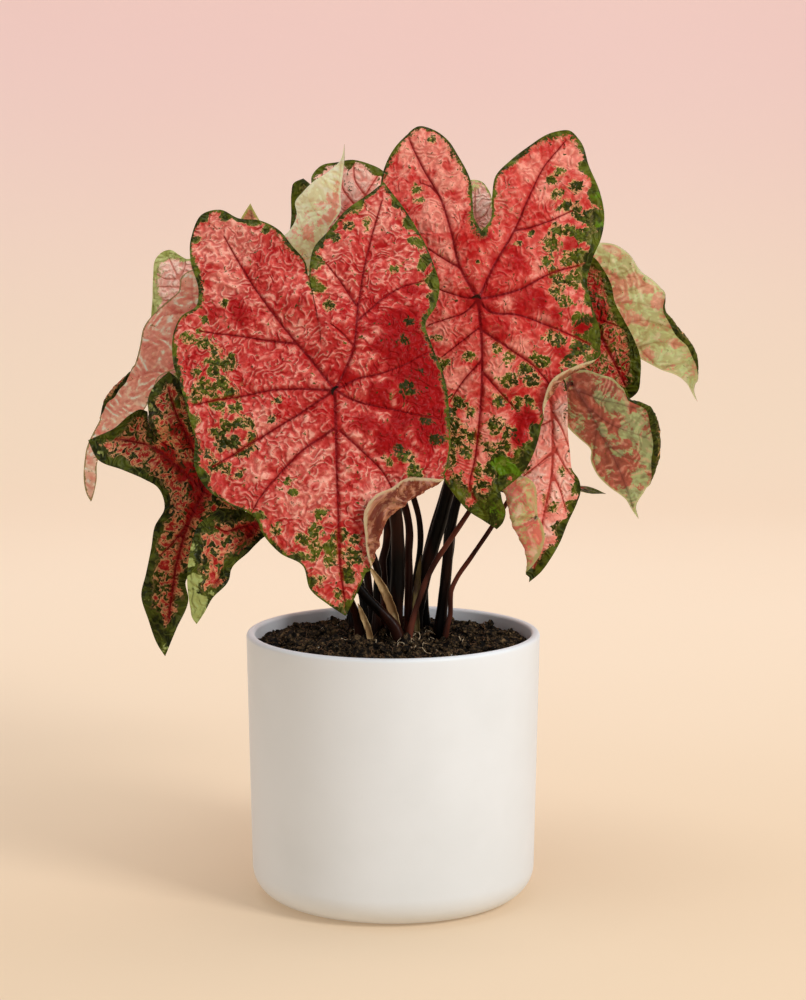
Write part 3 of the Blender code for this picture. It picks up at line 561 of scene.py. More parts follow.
def cast(origin, angle, outline):
    """Distance from a flat point to the outline in a direction."""
    way = np.array([math.cos(angle), math.sin(angle)])
    best = np.inf
    for a, b in zip(outline, np.roll(outline, -1, axis=0)):
        run = b - a
        cross = way[0] * run[1] - way[1] * run[0]
        if abs(cross) < 1e-9:
            continue
        gap = a - origin
        far = (gap[0] * run[1] - gap[1] * run[0]) / cross
        share = (gap[0] * way[1] - gap[1] * way[0]) / cross
        if far > 0.5 and 0 <= share <= 1:
            best = min(best, far)
    return best


def curve_slopes(points, hops, closed):
    """Which way a path runs through each of its points; None at an end or a sharp turn."""
    count = len(points)
    slopes = []
    for k in range(count):
        if not closed and k in (0, count - 1):
            slopes.append(None)
            continue
        before = (points[k] - points[k - 1]) / hops[k - 1]
        after = (points[(k + 1) % count] - points[k]) / hops[k]
        turn = math.acos(float(np.clip(np.dot(before, after), -1, 1)))
        if turn > SHARP_TURN:
            slopes.append(None)
        else:
            slopes.append((hops[k - 1] * after + hops[k] * before) / (hops[k - 1] + hops[k]))
    return slopes


def curve(points, step, closed=False):
    """A smooth path through points, sampled about every step; sharp turns stay sharp."""
    points = np.asarray(points, float)
    count = len(points)
    hops = np.linalg.norm(np.roll(points, -1, axis=0) - points, axis=1)
    slopes = curve_slopes(points, hops, closed)
    path = []
    for k in range(count if closed else count - 1):
        a, b = points[k], points[(k + 1) % count]
        chord = b - a
        first = slopes[k] * hops[k] if slopes[k] is not None else chord
        last = slopes[(k + 1) % count] * hops[k] if slopes[(k + 1) % count] is not None else chord
        pieces = max(1, round(hops[k] / step))
        for t in np.arange(pieces) / pieces:
            path.append(
                (2 * t**3 - 3 * t**2 + 1) * a + (t**3 - 2 * t**2 + t) * first
                + (3 * t**2 - 2 * t**3) * b + (t**3 - t**2) * last
            )
    if not closed:
        path.append(points[-1])
    return np.array(path)


def plate(a, b):
    """Thin-plate terms between two sets of flat points."""
    square = ((a[:, None, :] - b[None, :, :]) ** 2).sum(axis=2)
    return square * np.log(square + 1e-9)


class Sheet:
    """The middle surface of a blade: flat places round its hub, and where they lie in the air."""

    SCALE = 100.0
    GRID = 6.0
    ROUNDS = 6
    TRIAL = 0.4
    LONGEST = 8.0

    def __init__(self, name):
        rings = rings_of("stem_" + name)
        middle = rings[-1].mean(axis=0)
        normal = np.linalg.svd(rings[-1] - middle)[2][2]
        self.up = normal * np.sign(normal @ (middle - rings[-2].mean(axis=0)))
        self.hub = middle + STEM_SEAT * self.up
        margin = margin_of("blade_" + name) - self.hub
        tip = int(np.argmax(np.linalg.norm(margin, axis=1)))
        margin = np.roll(margin, -tip, axis=0)
        forward = unit(margin[0] - (margin[0] @ self.up) * self.up)
        aside = np.cross(self.up, forward)
        flat = np.stack([margin @ forward, margin @ aside], axis=1)
        flat *= (np.linalg.norm(margin, axis=1) / np.linalg.norm(flat, axis=1))[:, None]
        after = np.roll(flat, -1, axis=0)
        if (flat[:, 0] * after[:, 1] - flat[:, 1] * after[:, 0]).sum() < 0:
            flat = np.roll(flat[::-1], 1, axis=0)
            margin = np.roll(margin[::-1], 1, axis=0)
        self.outline = flat
        seat = SEAT * np.array([(0, 0), (1, 0), (-1, 0), (0, 1), (0, -1)], float)
        known = np.concatenate([margin, seat[:, :1] * forward + seat[:, 1:] * aside]) + self.hub
        self.near = np.concatenate([flat, seat]) / self.SCALE
        level = np.column_stack([np.ones(len(self.near)), self.near])
        system = np.block([[plate(self.near, self.near), level], [level.T, np.zeros((3, 3))]])
        self.weights = np.linalg.solve(system, np.vstack([known, np.zeros((3, 3))]))

    def lift(self, flat):
        """Where flat places lie in the air."""
        far = np.asarray(flat, float) / self.SCALE
        level = np.column_stack([np.ones(len(far)), far])
        return np.column_stack([plate(far, self.near), level]) @ self.weights

    def find(self, pixels):
        """Flat places that the camera sees at some pixels."""
        pixels = np.asarray(pixels, float)
        low, high = self.outline.min(axis=0), self.outline.max(axis=0)
        grid = np.stack(np.meshgrid(*(np.arange(a, b, self.GRID) for a, b in zip(low, high))), axis=-1)
        grid = grid.reshape(-1, 2)
        grid = np.concatenate([grid[inside(grid, self.outline)], self.outline])
        seen = project(self.lift(grid))
        flat = grid[np.argmin(((seen[None] - pixels[:, None]) ** 2).sum(axis=2), axis=1)].copy()
        for _ in range(self.ROUNDS):
            miss = pixels - project(self.lift(flat))
            moved = []
            for trial in ((self.TRIAL, 0), (0, self.TRIAL)):
                moved.append(project(self.lift(flat + trial)) - project(self.lift(flat - trial)))
            slopes = np.stack(moved, axis=2) / (2 * self.TRIAL)
            steps = np.stack([np.linalg.pinv(slope) @ gap for slope, gap in zip(slopes, miss)])
            length = np.linalg.norm(steps, axis=1)[:, None]
            flat += steps * np.minimum(1, self.LONGEST / (length + 1e-9))
        return flat


# Blades


def standard_veins(outline):
    """Veins of a blade that the photo doesn't show from the front: midrib, lobes and laterals."""
    tip = outline[0]
    midrib = curve([(0, 0), tip * 0.5 + (0, 1.5), tip * 0.985], 3.0)
    angles = np.degrees(np.arctan2(outline[:, 1], outline[:, 0]))
    reach = np.linalg.norm(outline, axis=1)
    veins = [midrib]
    for side in (-1, 1):
        behind = (angles * side > 95) & (angles * side < 178)
        if behind.any():
            lobe = outline[np.argmax(np.where(behind, reach, 0))]
            bow = np.array([-lobe[1], lobe[0]]) * 0.08 * side
            veins.append(curve([(0, 0), lobe * 0.5 - bow, lobe * 0.9], 3.0))
            veins += laterals(veins[-1], outline, (0.35, 0.62), 48)
        veins += laterals(midrib, outline, (0.0,), 74, (side,))
        veins += laterals(midrib, outline, (0.12, 0.30, 0.50, 0.70), 50, (side,))
    return veins


def laterals(path, outline, shares, degrees, sides=(-1, 1)):
    """Side veins that leave a vein at some shares of its length and bend towards its tip."""
    veins = []
    for share in shares:
        at = int(share * (len(path) - 1))
        origin = path[at]
        way = path[min(at + 1, len(path) - 1)] - path[max(at - 1, 0)]
        heading = math.atan2(way[1], way[0])
        for side in sides:
            angle = heading + side * math.radians(degrees)
            far = cast(origin, angle, outline)
            if not 8.0 < far < 200.0:
                continue
            end = origin + 0.9 * far * np.array([math.cos(angle), math.sin(angle)])
            out = angle + side * math.radians(13)
            middle = origin + 0.5 * far * np.array([math.cos(out), math.sin(out)])
            veins.append(curve([origin, middle, end], 3.0))
    return veins


def vein_fields(points, veins):
    """Distance to the nearest vein, its half width there, place along it, offset and lead."""
    nearest = np.full(len(points), np.inf)
    second = np.full(len(points), np.inf)
    half = np.ones(len(points))
    walked = np.zeros(len(points))
    aside = np.zeros(len(points))
    for order, vein in enumerate(veins):
        length = np.linalg.norm(np.diff(vein, axis=0), axis=1).sum()
        distance, along, offset = nearest_on(points, vein)
        widest = MIDRIB_HALF if order == 0 else min(VEIN_HALF, THIN_HALF + length / VEIN_GROWTH)
        second = np.where(distance < nearest, nearest, np.minimum(second, distance))
        closer = distance < nearest
        nearest = np.where(closer, distance, nearest)
        half = np.where(closer, widest * np.maximum(0.3, 1.0 - 0.7 * along / length), half)
        walked = np.where(closer, along + VEIN_APART * order, walked)
        aside = np.where(closer, offset, aside)
    return nearest, half, walked, aside, np.minimum(second - nearest, LONGEST_LEAD)


def spot_field(flat, spots, seed):
    """Share that soft-edged spots give to flat points, from rows of (place, radius, strength)."""
    field = np.zeros(len(flat))
    wobble = 1 + 0.3 * waves(flat, 9.0, seed)
    for place, radius, strength in spots:
        distance = np.linalg.norm(flat - place, axis=1) * wobble / radius
        field = np.maximum(field, strength * (1 - smooth(0.35, 1.45, distance)))
    return field


def spots_of(sheet, table, name):
    """Flat places, radii and strengths of the spots that a table gives for a blade in pixels."""
    rows = table.get(name)
    if not rows:
        return []
    places = sheet.find([row[:2] for row in rows])
    scale = (CAMERA_AT[1] - sheet.hub[1]) / -FOCAL_PIXELS
    return [(place, row[2] * scale, row[3] if len(row) > 3 else 1.0) for place, row in zip(places, rows)]


def roll_margin(sheet, outline, roll, step):
    """Widens the flat outline by a rolled strip. Returns the new outline and the crease's facts."""
    ends = project(sheet.lift(outline))
    first = int(np.argmin(((ends - roll["start"]) ** 2).sum(axis=1)))
    last = int(np.argmin(((ends - roll["end"]) ** 2).sum(axis=1)))
    count = len(outline)
    forth = [(first + k) % count for k in range((last - first) % count + 1)]
    back = [(last + k) % count for k in range((first - last) % count + 1)]
    run = forth if len(forth) < len(back) else back
    crease = outline[run]
    ways = np.gradient(crease, axis=0)
    outward = unit_rows(np.stack([ways[:, 1], -ways[:, 0]], axis=1))
    share = np.linspace(0, 1, len(run))
    width = roll["width"] * np.sin(math.pi * share) ** 0.8 * (1 + 0.08 * np.sin(share * 19))
    rim = crease + outward * width[:, None]
    keep = [0]
    for k in range(1, len(rim)):
        if np.linalg.norm(rim[k] - rim[keep[-1]]) > 0.7 * step:
            keep.append(k)
    rest = [k for k in range(count) if k not in set(run[1:-1])]
    start = rest.index(run[-1])
    rest = rest[start:] + rest[:start]
    if keep[-1] == len(rim) - 1:
        keep.pop()
    wide = np.concatenate([outline[rest], rim[keep[1:]]])
    return wide, dict(crease=crease, outward=outward, **roll)


def rolled_places(sheet, flat, facts):
    """Places in the air of flat points that lie beyond a crease."""
    crease = facts["crease"]
    gaps = np.linalg.norm(flat[:, None] - crease[None], axis=2)
    foot = np.argmin(gaps, axis=1)
    beyond = np.einsum("ij,ij->i", flat - crease[foot], facts["outward"][foot])
    beside = flat - crease[foot] - beyond[:, None] * facts["outward"][foot]
    base = sheet.lift(crease[foot] + beside)
    out = unit_rows(base - sheet.lift(crease[foot] + beside - NUDGE * facts["outward"][foot]))
    turned = np.stack([-facts["outward"][foot][:, 1], facts["outward"][foot][:, 0]], axis=1)
    side = sheet.lift(crease[foot] + NUDGE * turned) - sheet.lift(crease[foot] - NUDGE * turned)
    normal = unit_rows(np.cross(out, side))
    normal *= np.where(normal @ sheet.up < 0, -1, 1)[:, None] * facts["side"]
    radius, full = facts["radius"], math.radians(facts["turn"])
    turn = np.minimum(np.maximum(beyond, 0) / radius, full)
    spare = np.maximum(beyond - radius * full, 0)
    return (
        base
        + (radius * np.sin(turn) + spare * np.cos(turn))[:, None] * out
        + (radius * (1 - np.cos(turn)) + spare * np.sin(turn))[:, None] * normal
    )


def crests(flat, walked, aside, lead, seed):
    """Share from 0 to 1 of the fine crinkle, 1 on its crests, drawn out along the side veins."""
    flow = np.column_stack([walked - BACKWARD * aside, aside * CRINKLE_SHORT / CRINKLE_LONG])
    wander = np.column_stack([waves(flat, 13.0, seed + 20), waves(flat, 13.0, seed + 21)])
    drift = CRINKLE_DRIFT * wander
    drawn = np.abs(waves(flow + drift, CRINKLE_SHORT, seed + 22, 14))
    loose = np.abs(waves(flat + drift, CRINKLE_LOOSE, seed + 23, 16))
    share = 0.6 * smooth(0.0, 8.0, lead)
    return 1 - np.clip((drawn * share + loose * (1 - share)) * 1.5, 0, 1)


def relief(flat, fields, quilt, seed):
    """Height of the crinkled upper face above the smooth sheet, and the crests of its crinkle."""
    vein, half, walked, aside, lead, edge = fields
    valley = -VALLEY_DEEP * np.exp(-((vein / (1.5 * half + 0.5)) ** 2))
    valley = valley - VALLEY_WIDE * np.exp(-((vein / VALLEY_REACH) ** 2))
    across = walked - BACKWARD * aside + 2.2 * waves(flat, 24.0, seed)
    pinnate = PINNATE_RISE * np.cos(2 * math.pi * across / PINNATE_STEP)
    pinnate = pinnate * smooth(1.5, 7.0, vein) * smooth(0.0, 7.0, lead)
    swell = SWELL_RISE * waves(flat, 26.0, seed + 3) + RIPPLE_RISE * waves(flat, 9.0, seed + 1, 12)
    crest = crests(flat, walked, aside, lead, seed)
    crinkle = CRINKLE_RISE * (crest - CRINKLE_LEVEL)
    hub = smooth(0.0, 7.0, np.linalg.norm(flat, axis=1))
    inner = smooth(0.0, 6.0, edge)
    return quilt * (valley + (pinnate + crinkle + swell) * inner) * hub, crest


def blade_margin(sheet, name, step):
    """A blade's flat margin, the same widened by its rolled strips, and the facts of each roll."""
    outline = curve(sheet.outline, step, closed=True)
    grown = outline
    rolls = []
    for roll in ROLLS.get(name, []):
        grown, facts = roll_margin(sheet, grown, roll, step)
        rolls.append(facts)
    return outline, grown, rolls


def blade_net(grown, ridges, step):
    """Flat points and triangles of a blade: its margin, then its veins and creases, then a lattice."""
    low, high = grown.min(axis=0), grown.max(axis=0)
    rows = np.arange(low[0], high[0], step * math.sqrt(3) / 2)
    lattice = np.array([
        (along, across)
        for row, along in enumerate(rows)
        for across in np.arange(low[1] + step / 2 * (row % 2), high[1], step)
    ])
    lattice = lattice[inside(lattice, grown)]
    clear = nearest_on(lattice, grown, closed=True)[0] > 0.5 * step
    extra = []
    for ridge in ridges:
        clear &= nearest_on(lattice, ridge)[0] > 0.55 * step
        inner = ridge[inside(ridge, grown) & (nearest_on(ridge, grown, closed=True)[0] > 0.4 * step)]
        for point in inner:
            if all(abs(point[0] - q[0]) + abs(point[1] - q[1]) > 0.45 * step for q in extra):
                extra.append(point)
    flat = np.concatenate([grown, np.array(extra), lattice[clear]])
    result = delaunay_2d_cdt([tuple(p) for p in flat], [], [list(range(len(grown)))], 1, 1e-6)
    return np.array([tuple(p) for p in result[0]]), np.array([tuple(face) for face in result[2]])


def blade_places(sheet, flat, outline, rolls, step):
    """Where a blade's flat points lie in the air, with its margins rolled."""
    places = sheet.lift(flat)
    beyond = ~inside(flat, outline) & (nearest_on(flat, outline, closed=True)[0] > 0.02)
    for facts in rolls:
        gap = np.linalg.norm(flat[:, None] - facts["crease"][None], axis=2).min(axis=1)
        mine = beyond & (gap < facts["width"] + step)
        places[mine] = rolled_places(sheet, flat[mine], facts)
    return places


def blade(name, style):
    """One fine blade, as a thin closed body with its markings kept as attributes."""
    sheet = Sheet(name)
    step = style.get("lattice", LATTICE)
    outline, grown, rolls = blade_margin(sheet, name, step)
    if name in VEINS:
        veins = [curve(sheet.find(vein), VEIN_STEP) for vein in VEINS[name]]
    else:
        veins = standard_veins(sheet.outline)
    ridges = [curve(vein, step * 0.8) for vein in veins]
    ridges += [facts["crease"][1:-1] for facts in rolls]
    flat, faces = blade_net(grown, ridges, step)

    edge = nearest_on(flat, grown, closed=True)[0]
    vein, half, walked, aside, lead = vein_fields(flat, veins)
    places = blade_places(sheet, flat, outline, rolls, step)
    height, crest = relief(flat, (vein, half, walked, aside, lead, edge), style["quilt"], seed_of(name))
    places = places + height[:, None] * sheet_normals(places, faces)
    normals = sheet_normals(places, faces)
    thick = EDGE_HALF + (BLADE_HALF - EDGE_HALF) * smooth(0.0, 2.5, edge)
    rib = 0.55 * half * np.exp(-((vein / (1.5 * half + 0.2)) ** 2)) * smooth(0.5, 3.0, edge)
    top = places + thick[:, None] * normals
    under = places - (thick + rib)[:, None] * normals

    shell = close_shell(faces, np.arange(len(grown)), len(flat))
    slots = [0] * len(faces) + [1] * len(faces) + [0] * (2 * len(grown))
    looks = [MATERIALS["upper_" + style["upper"]], MATERIALS["under_" + style["under"]]]
    piece = solid("leaf_" + name, np.concatenate([top, under]), shell, looks, slots, BLADE_SHARP)
    veined = dict(flow=np.column_stack([walked - 0.8 * aside, aside]), vein=vein / half, crest=crest)
    mark(piece, sheet, name, flat, veined, edge)
    keep(piece, "blade_" + name)
    return sheet


def mark(piece, sheet, name, flat, veined, edge):
    """Keeps what the materials read, for each point of a blade."""
    style = STYLES[name]
    seed = seed_of(name)
    leaf = np.full((len(flat), 1), PATTERN_APART * seed)
    write(piece, "flat", np.hstack([flat, leaf]))
    write(piece, "flow", np.hstack([veined["flow"], leaf]))
    write(piece, "vein", veined["vein"])
    write(piece, "crest", veined["crest"])
    write(piece, "edge", edge / style["rim"])
    write(piece, "reach", np.linalg.norm(flat, axis=1))
    for order, (field, table) in enumerate(FIELDS.items()):
        spots = spot_field(flat, spots_of(sheet, table, name), seed + 4 + order)
        write(piece, field, np.maximum(spots, style.get(field, 0.0)))


def tuck_faces(length):
    """Triangles of a strip of TUCK_ROWS rows, and its rim in turn."""
    faces = []
    for row in range(TUCK_ROWS - 1):
        for a in range(row * length, row * length + length - 1):
            faces += [(a, a + length, a + 1), (a + 1, a + length, a + length + 1)]
    rim = list(range(length))
    rim += [row * length + length - 1 for row in range(1, TUCK_ROWS)]
    rim += [(TUCK_ROWS - 1) * length + k for k in range(length - 2, -1, -1)]
    rim += [row * length for row in range(TUCK_ROWS - 2, 0, -1)]
    return faces, rim


def tuck(sheet, name, pixels, width, drop):
    """A strip just under a blade that closes a slit, where one lobe passes behind the other."""
    line = curve(sheet.find(pixels), 1.0)
    ways = unit_rows(np.gradient(line, axis=0))
    out = np.stack([-ways[:, 1], ways[:, 0]], axis=1)
    rows = width * np.linspace(-0.5, 0.5, TUCK_ROWS)
    taper = np.sqrt(np.sin(np.linspace(0.15, math.pi - 0.15, len(line))))
    flat = np.concatenate([line + out * (row * taper)[:, None] for row in rows])
    faces, rim = tuck_faces(len(line))
    places = sheet.lift(flat)
    normals = sheet_normals(places, np.array(faces))
    if (normals @ sheet.up).mean() < 0:
        normals = -normals
        faces = [face[::-1] for face in faces]
    else:
        rim = rim[::-1]
    top = places - drop * normals
    shell = close_shell(np.array(faces), np.array(rim), len(flat))
    looks = [MATERIALS["upper_" + STYLES[name]["upper"]]]
    both = np.concatenate([top, top - TUCK_THICK * normals])
    piece = solid("tuck_" + name, both, shell, looks, sharp=BLADE_SHARP)
    vein = np.full(len(flat), 30.0)
    crest = crests(flat, flat[:, 0], vein, np.zeros(len(flat)), seed_of(name))
    mark(piece, sheet, name, flat, dict(flow=flat, vein=vein, crest=crest), vein)
    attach(piece, "root")


def close_shell(faces, rim, count):
    """Faces of both sides of a sheet and the wall between them along its rim."""
    after = np.roll(rim, -1)
    low_walls = np.stack([rim, rim + count, after + count], axis=1)
    high_walls = np.stack([rim, after + count, after], axis=1)
    return np.concatenate([faces, faces[:, ::-1] + count, low_walls, high_walls])


def seed_of(name):
    """The number that starts a blade's random waves."""
    return 100 + 7 * list(STYLES).index(name)


def sheet_normals(places, faces):
    """Normal at each point of an open sheet of triangles."""
    a, b, c = (places[faces[:, k]] for k in range(3))
    turned = np.cross(b - a, c - a)
    normals = np.zeros_like(places)
    for k in range(3):
        np.add.at(normals, faces[:, k], turned)
    return normals / (np.linalg.norm(normals, axis=1)[:, None] + 1e-12)


# Meshes and materials


def placed(name, data):
    """A new object in the scene."""
    made = bpy.data.objects.new(name, data)
    bpy.context.scene.collection.objects.link(made)
    return made


def solid(name, points, faces, looks, slots=None, sharp=40):
    """A mesh object in metres from points in millimetres."""
    mesh = bpy.data.meshes.new(name)
    mesh.from_pydata((np.asarray(points) * MM).tolist(), [], [tuple(map(int, face)) for face in faces])
    mesh.shade_smooth()
    mesh.set_sharp_from_angle(angle=math.radians(sharp))
    for look in looks:
        mesh.materials.append(look)
    if slots is not None:
        mesh.polygons.foreach_set("material_index", slots)
    return placed(name, mesh)


def write(piece, name, values):
    """Keeps a value, or a vector, for each point on both faces of a blade."""
    both = np.concatenate([values, values]).astype(np.float32)
    vector = both.ndim == 2
    layer = piece.data.attributes.new(name, "FLOAT_VECTOR" if vector else "FLOAT", "POINT")
    layer.data.foreach_set("vector" if vector else "value", both.reshape(-1))


def dress(node, material):
    """Gives a CAD node that stays as it is its material."""
    materials = frame["nodes"][node].data.materials
    materials.clear()
    materials.append(material)


def keep(piece, node):
    """The piece stands in for a CAD node: it moves with the part, and the node is hidden."""
    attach(piece, "root")
    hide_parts(node)


class Look:
    """A Principled material whose nodes are laid out by short calls."""

    def __init__(self, name, roughness=0.5, specular=0.5):
        self.material = bpy.data.materials.new(name)
        self.material.use_nodes = True
        self.tree = self.material.node_tree
        self.shader = self.tree.nodes["Principled BSDF"]
        self.shader.inputs["Roughness"].default_value = roughness
        self.shader.inputs["Specular IOR Level"].default_value = specular

    def set(self, socket, value):
        """Links a socket, or sets it to a number, a vector or a colour."""
        if isinstance(value, bpy.types.NodeSocket):
            self.tree.links.new(value, socket)
        elif isinstance(value, (int, float)):
            socket.default_value = value
        else:
            value = tuple(value)
            socket.default_value = value + (1.0,) if socket.type == "RGBA" and len(value) == 3 else value

    def node(self, kind, inputs=(), **settings):
        """A new node with some settings and inputs."""
        made = self.tree.nodes.new("ShaderNode" + kind)
        for key, value in settings.items():
            setattr(made, key, value)
        for key, value in dict(inputs).items():
            self.set(made.inputs[key], value)
        return made

    def value(self, name):
        """A number kept for each point of the mesh."""
        return self.node("Attribute", attribute_name=name).outputs["Fac"]

    def place(self, name, scale=(1, 1, 1), shift=(0, 0, 0)):
        """A vector kept for each point, scaled."""
        source = self.node("Attribute", attribute_name=name).outputs["Vector"]
        inputs = {"Vector": source, "Scale": scale, "Location": shift}
        return self.node("Mapping", inputs).outputs["Vector"]

    def spot(self, scale=(1, 1, 1)):
        """The object's own coordinates, scaled, in metres."""
        source = self.node("TexCoord").outputs["Object"]
        return self.node("Mapping", {"Vector": source, "Scale": scale}).outputs["Vector"]

    def noise(self, place, scale, detail=3.0, rough=0.55, distort=0.0):
        """Cloudy noise, 0 to 1."""
        inputs = {"Vector": place, "Scale": scale, "Detail": detail}
        inputs |= {"Roughness": rough, "Distortion": distort}
        return self.node("TexNoise", inputs).outputs["Fac"]

    def dots(self, place, scale):
        """Distance to the nearest of some random points."""
        made = self.node("TexVoronoi", {"Vector": place, "Scale": scale}, feature="F1")
        return made.outputs["Distance"]

    def math(self, operation, a, b=0.0):
        """One operation on two numbers."""
        made = self.node("Math", operation=operation)
        self.set(made.inputs[0], a)
        self.set(made.inputs[1], b)
        return made.outputs[0]

    def step(self, value, low, high, start=0.0, end=1.0):
        """start below low, end above high and a soft step between."""
        inputs = {"Value": value, "From Min": low, "From Max": high, "To Min": start, "To Max": end}
        return self.node("MapRange", inputs, interpolation_type="SMOOTHSTEP").outputs["Result"]

    def mix(self, share, a, b):
        """Colour a, or b where share is 1."""
        made = self.node("Mix", data_type="RGBA")
        self.set(made.inputs[0], share)
        self.set(made.inputs[6], a)
        self.set(made.inputs[7], b)
        return made.outputs[2]

    def layers(self, colour, *rows):
        """A colour with others laid over it, each by a value and the step that it passes."""
        for value, step, over in rows:
            colour = self.mix(self.step(value, *step), colour, over)
        return colour

    def times(self, a, b):
        """One number times another."""
        return self.math("MULTIPLY", a, b)

    def blend(self, *rows, shift=0.0):
        """Sum of some values, each times its own weight."""
        total = shift
        for value, weight in rows:
            total = self.math("ADD", self.times(value, weight), total)
        return total

    def ripples(self, place, scale, count, outward=RIPPLES_PER_MM):
        """Fine wavy lines side by side across the ways out from the hub, 0 to 1."""
        slow = self.noise(self.warped(place, 3.0, 0.12), scale, 1.4, 0.5)
        phase = self.blend((slow, 2 * math.pi * count), (self.value("reach"), 2 * math.pi * outward))
        return self.blend((self.math("SINE", phase), 0.5), shift=0.5)

    def warped(self, place, size, scale):
        """Places shifted by noise of some size."""
        wobble = self.node("TexNoise", {"Vector": place, "Scale": scale, "Detail": 2.0}).outputs["Color"]
        centred = self.node("VectorMath", operation="SUBTRACT")
        self.set(centred.inputs[0], wobble)
        centred.inputs[1].default_value = (0.5, 0.5, 0.5)
        grown = self.node("VectorMath", operation="SCALE")
        self.set(grown.inputs[0], centred.outputs[0])
        grown.inputs["Scale"].default_value = size
        total = self.node("VectorMath", operation="ADD")
        self.set(total.inputs[0], place)
        self.set(total.inputs[1], grown.outputs[0])
        return total.outputs[0]

    def finish(self, colour=None, roughness=None, height=None, bump=0.3, depth=0.0005):
        """Links the colour, the roughness and a bump of some depth in metres."""
        if colour is not None:
            self.set(self.shader.inputs["Base Color"], colour)
        if roughness is not None:
            self.set(self.shader.inputs["Roughness"], roughness)
        if height is not None:
            made = self.node("Bump", {"Height": height, "Strength": bump, "Distance": depth})
            self.set(self.shader.inputs["Normal"], made.outputs["Normal"])
        return self.material


# Colours of the blades
CRIMSON = rgb(142, 3, 6)
RED = rgb(186, 26, 26)
CORAL = rgb(212, 80, 70)
SALMON = rgb(232, 134, 116)
# Pale pink of the painted highlights on the wrinkles' ridges and crests
HIGHLIGHT_PINK = rgb(252, 200, 176)
CREAM = rgb(226, 180, 124)
VEIN_RED = rgb(118, 6, 12)
DARK_GREEN = rgb(44, 48, 8)
OLIVE = rgb(86, 92, 18)
LIGHT_GREEN = rgb(142, 150, 66)
BRIGHT_GREEN = rgb(86, 116, 12)
GREY_GREEN = rgb(158, 166, 96)
NIGHT_GREEN = rgb(34, 34, 4)
LEAF_GREENS = (DARK_GREEN, OLIVE, BRIGHT_GREEN)

# Sizes of the painted noise, as waves per millimetre
TONE_SCALE = 0.045
CLOUD_SCALE = 0.10
GRAIN_SCALE = 0.42
TOOTH_SCALE = 0.5
BREAK_SCALE = 0.20


class Face(Look):
    """One side of a blade: a look whose colours and shares are chosen for each kind of leaf."""

    specular = 0.5
    point_values = ()

    def __init__(self, name, **choices):
        super().__init__(name, specular=self.specular)
        for key, choice in choices.items():
            setattr(self, key, choice)
        for key in self.point_values:
            setattr(self, key, self.value(key))
        self.lay_noise()


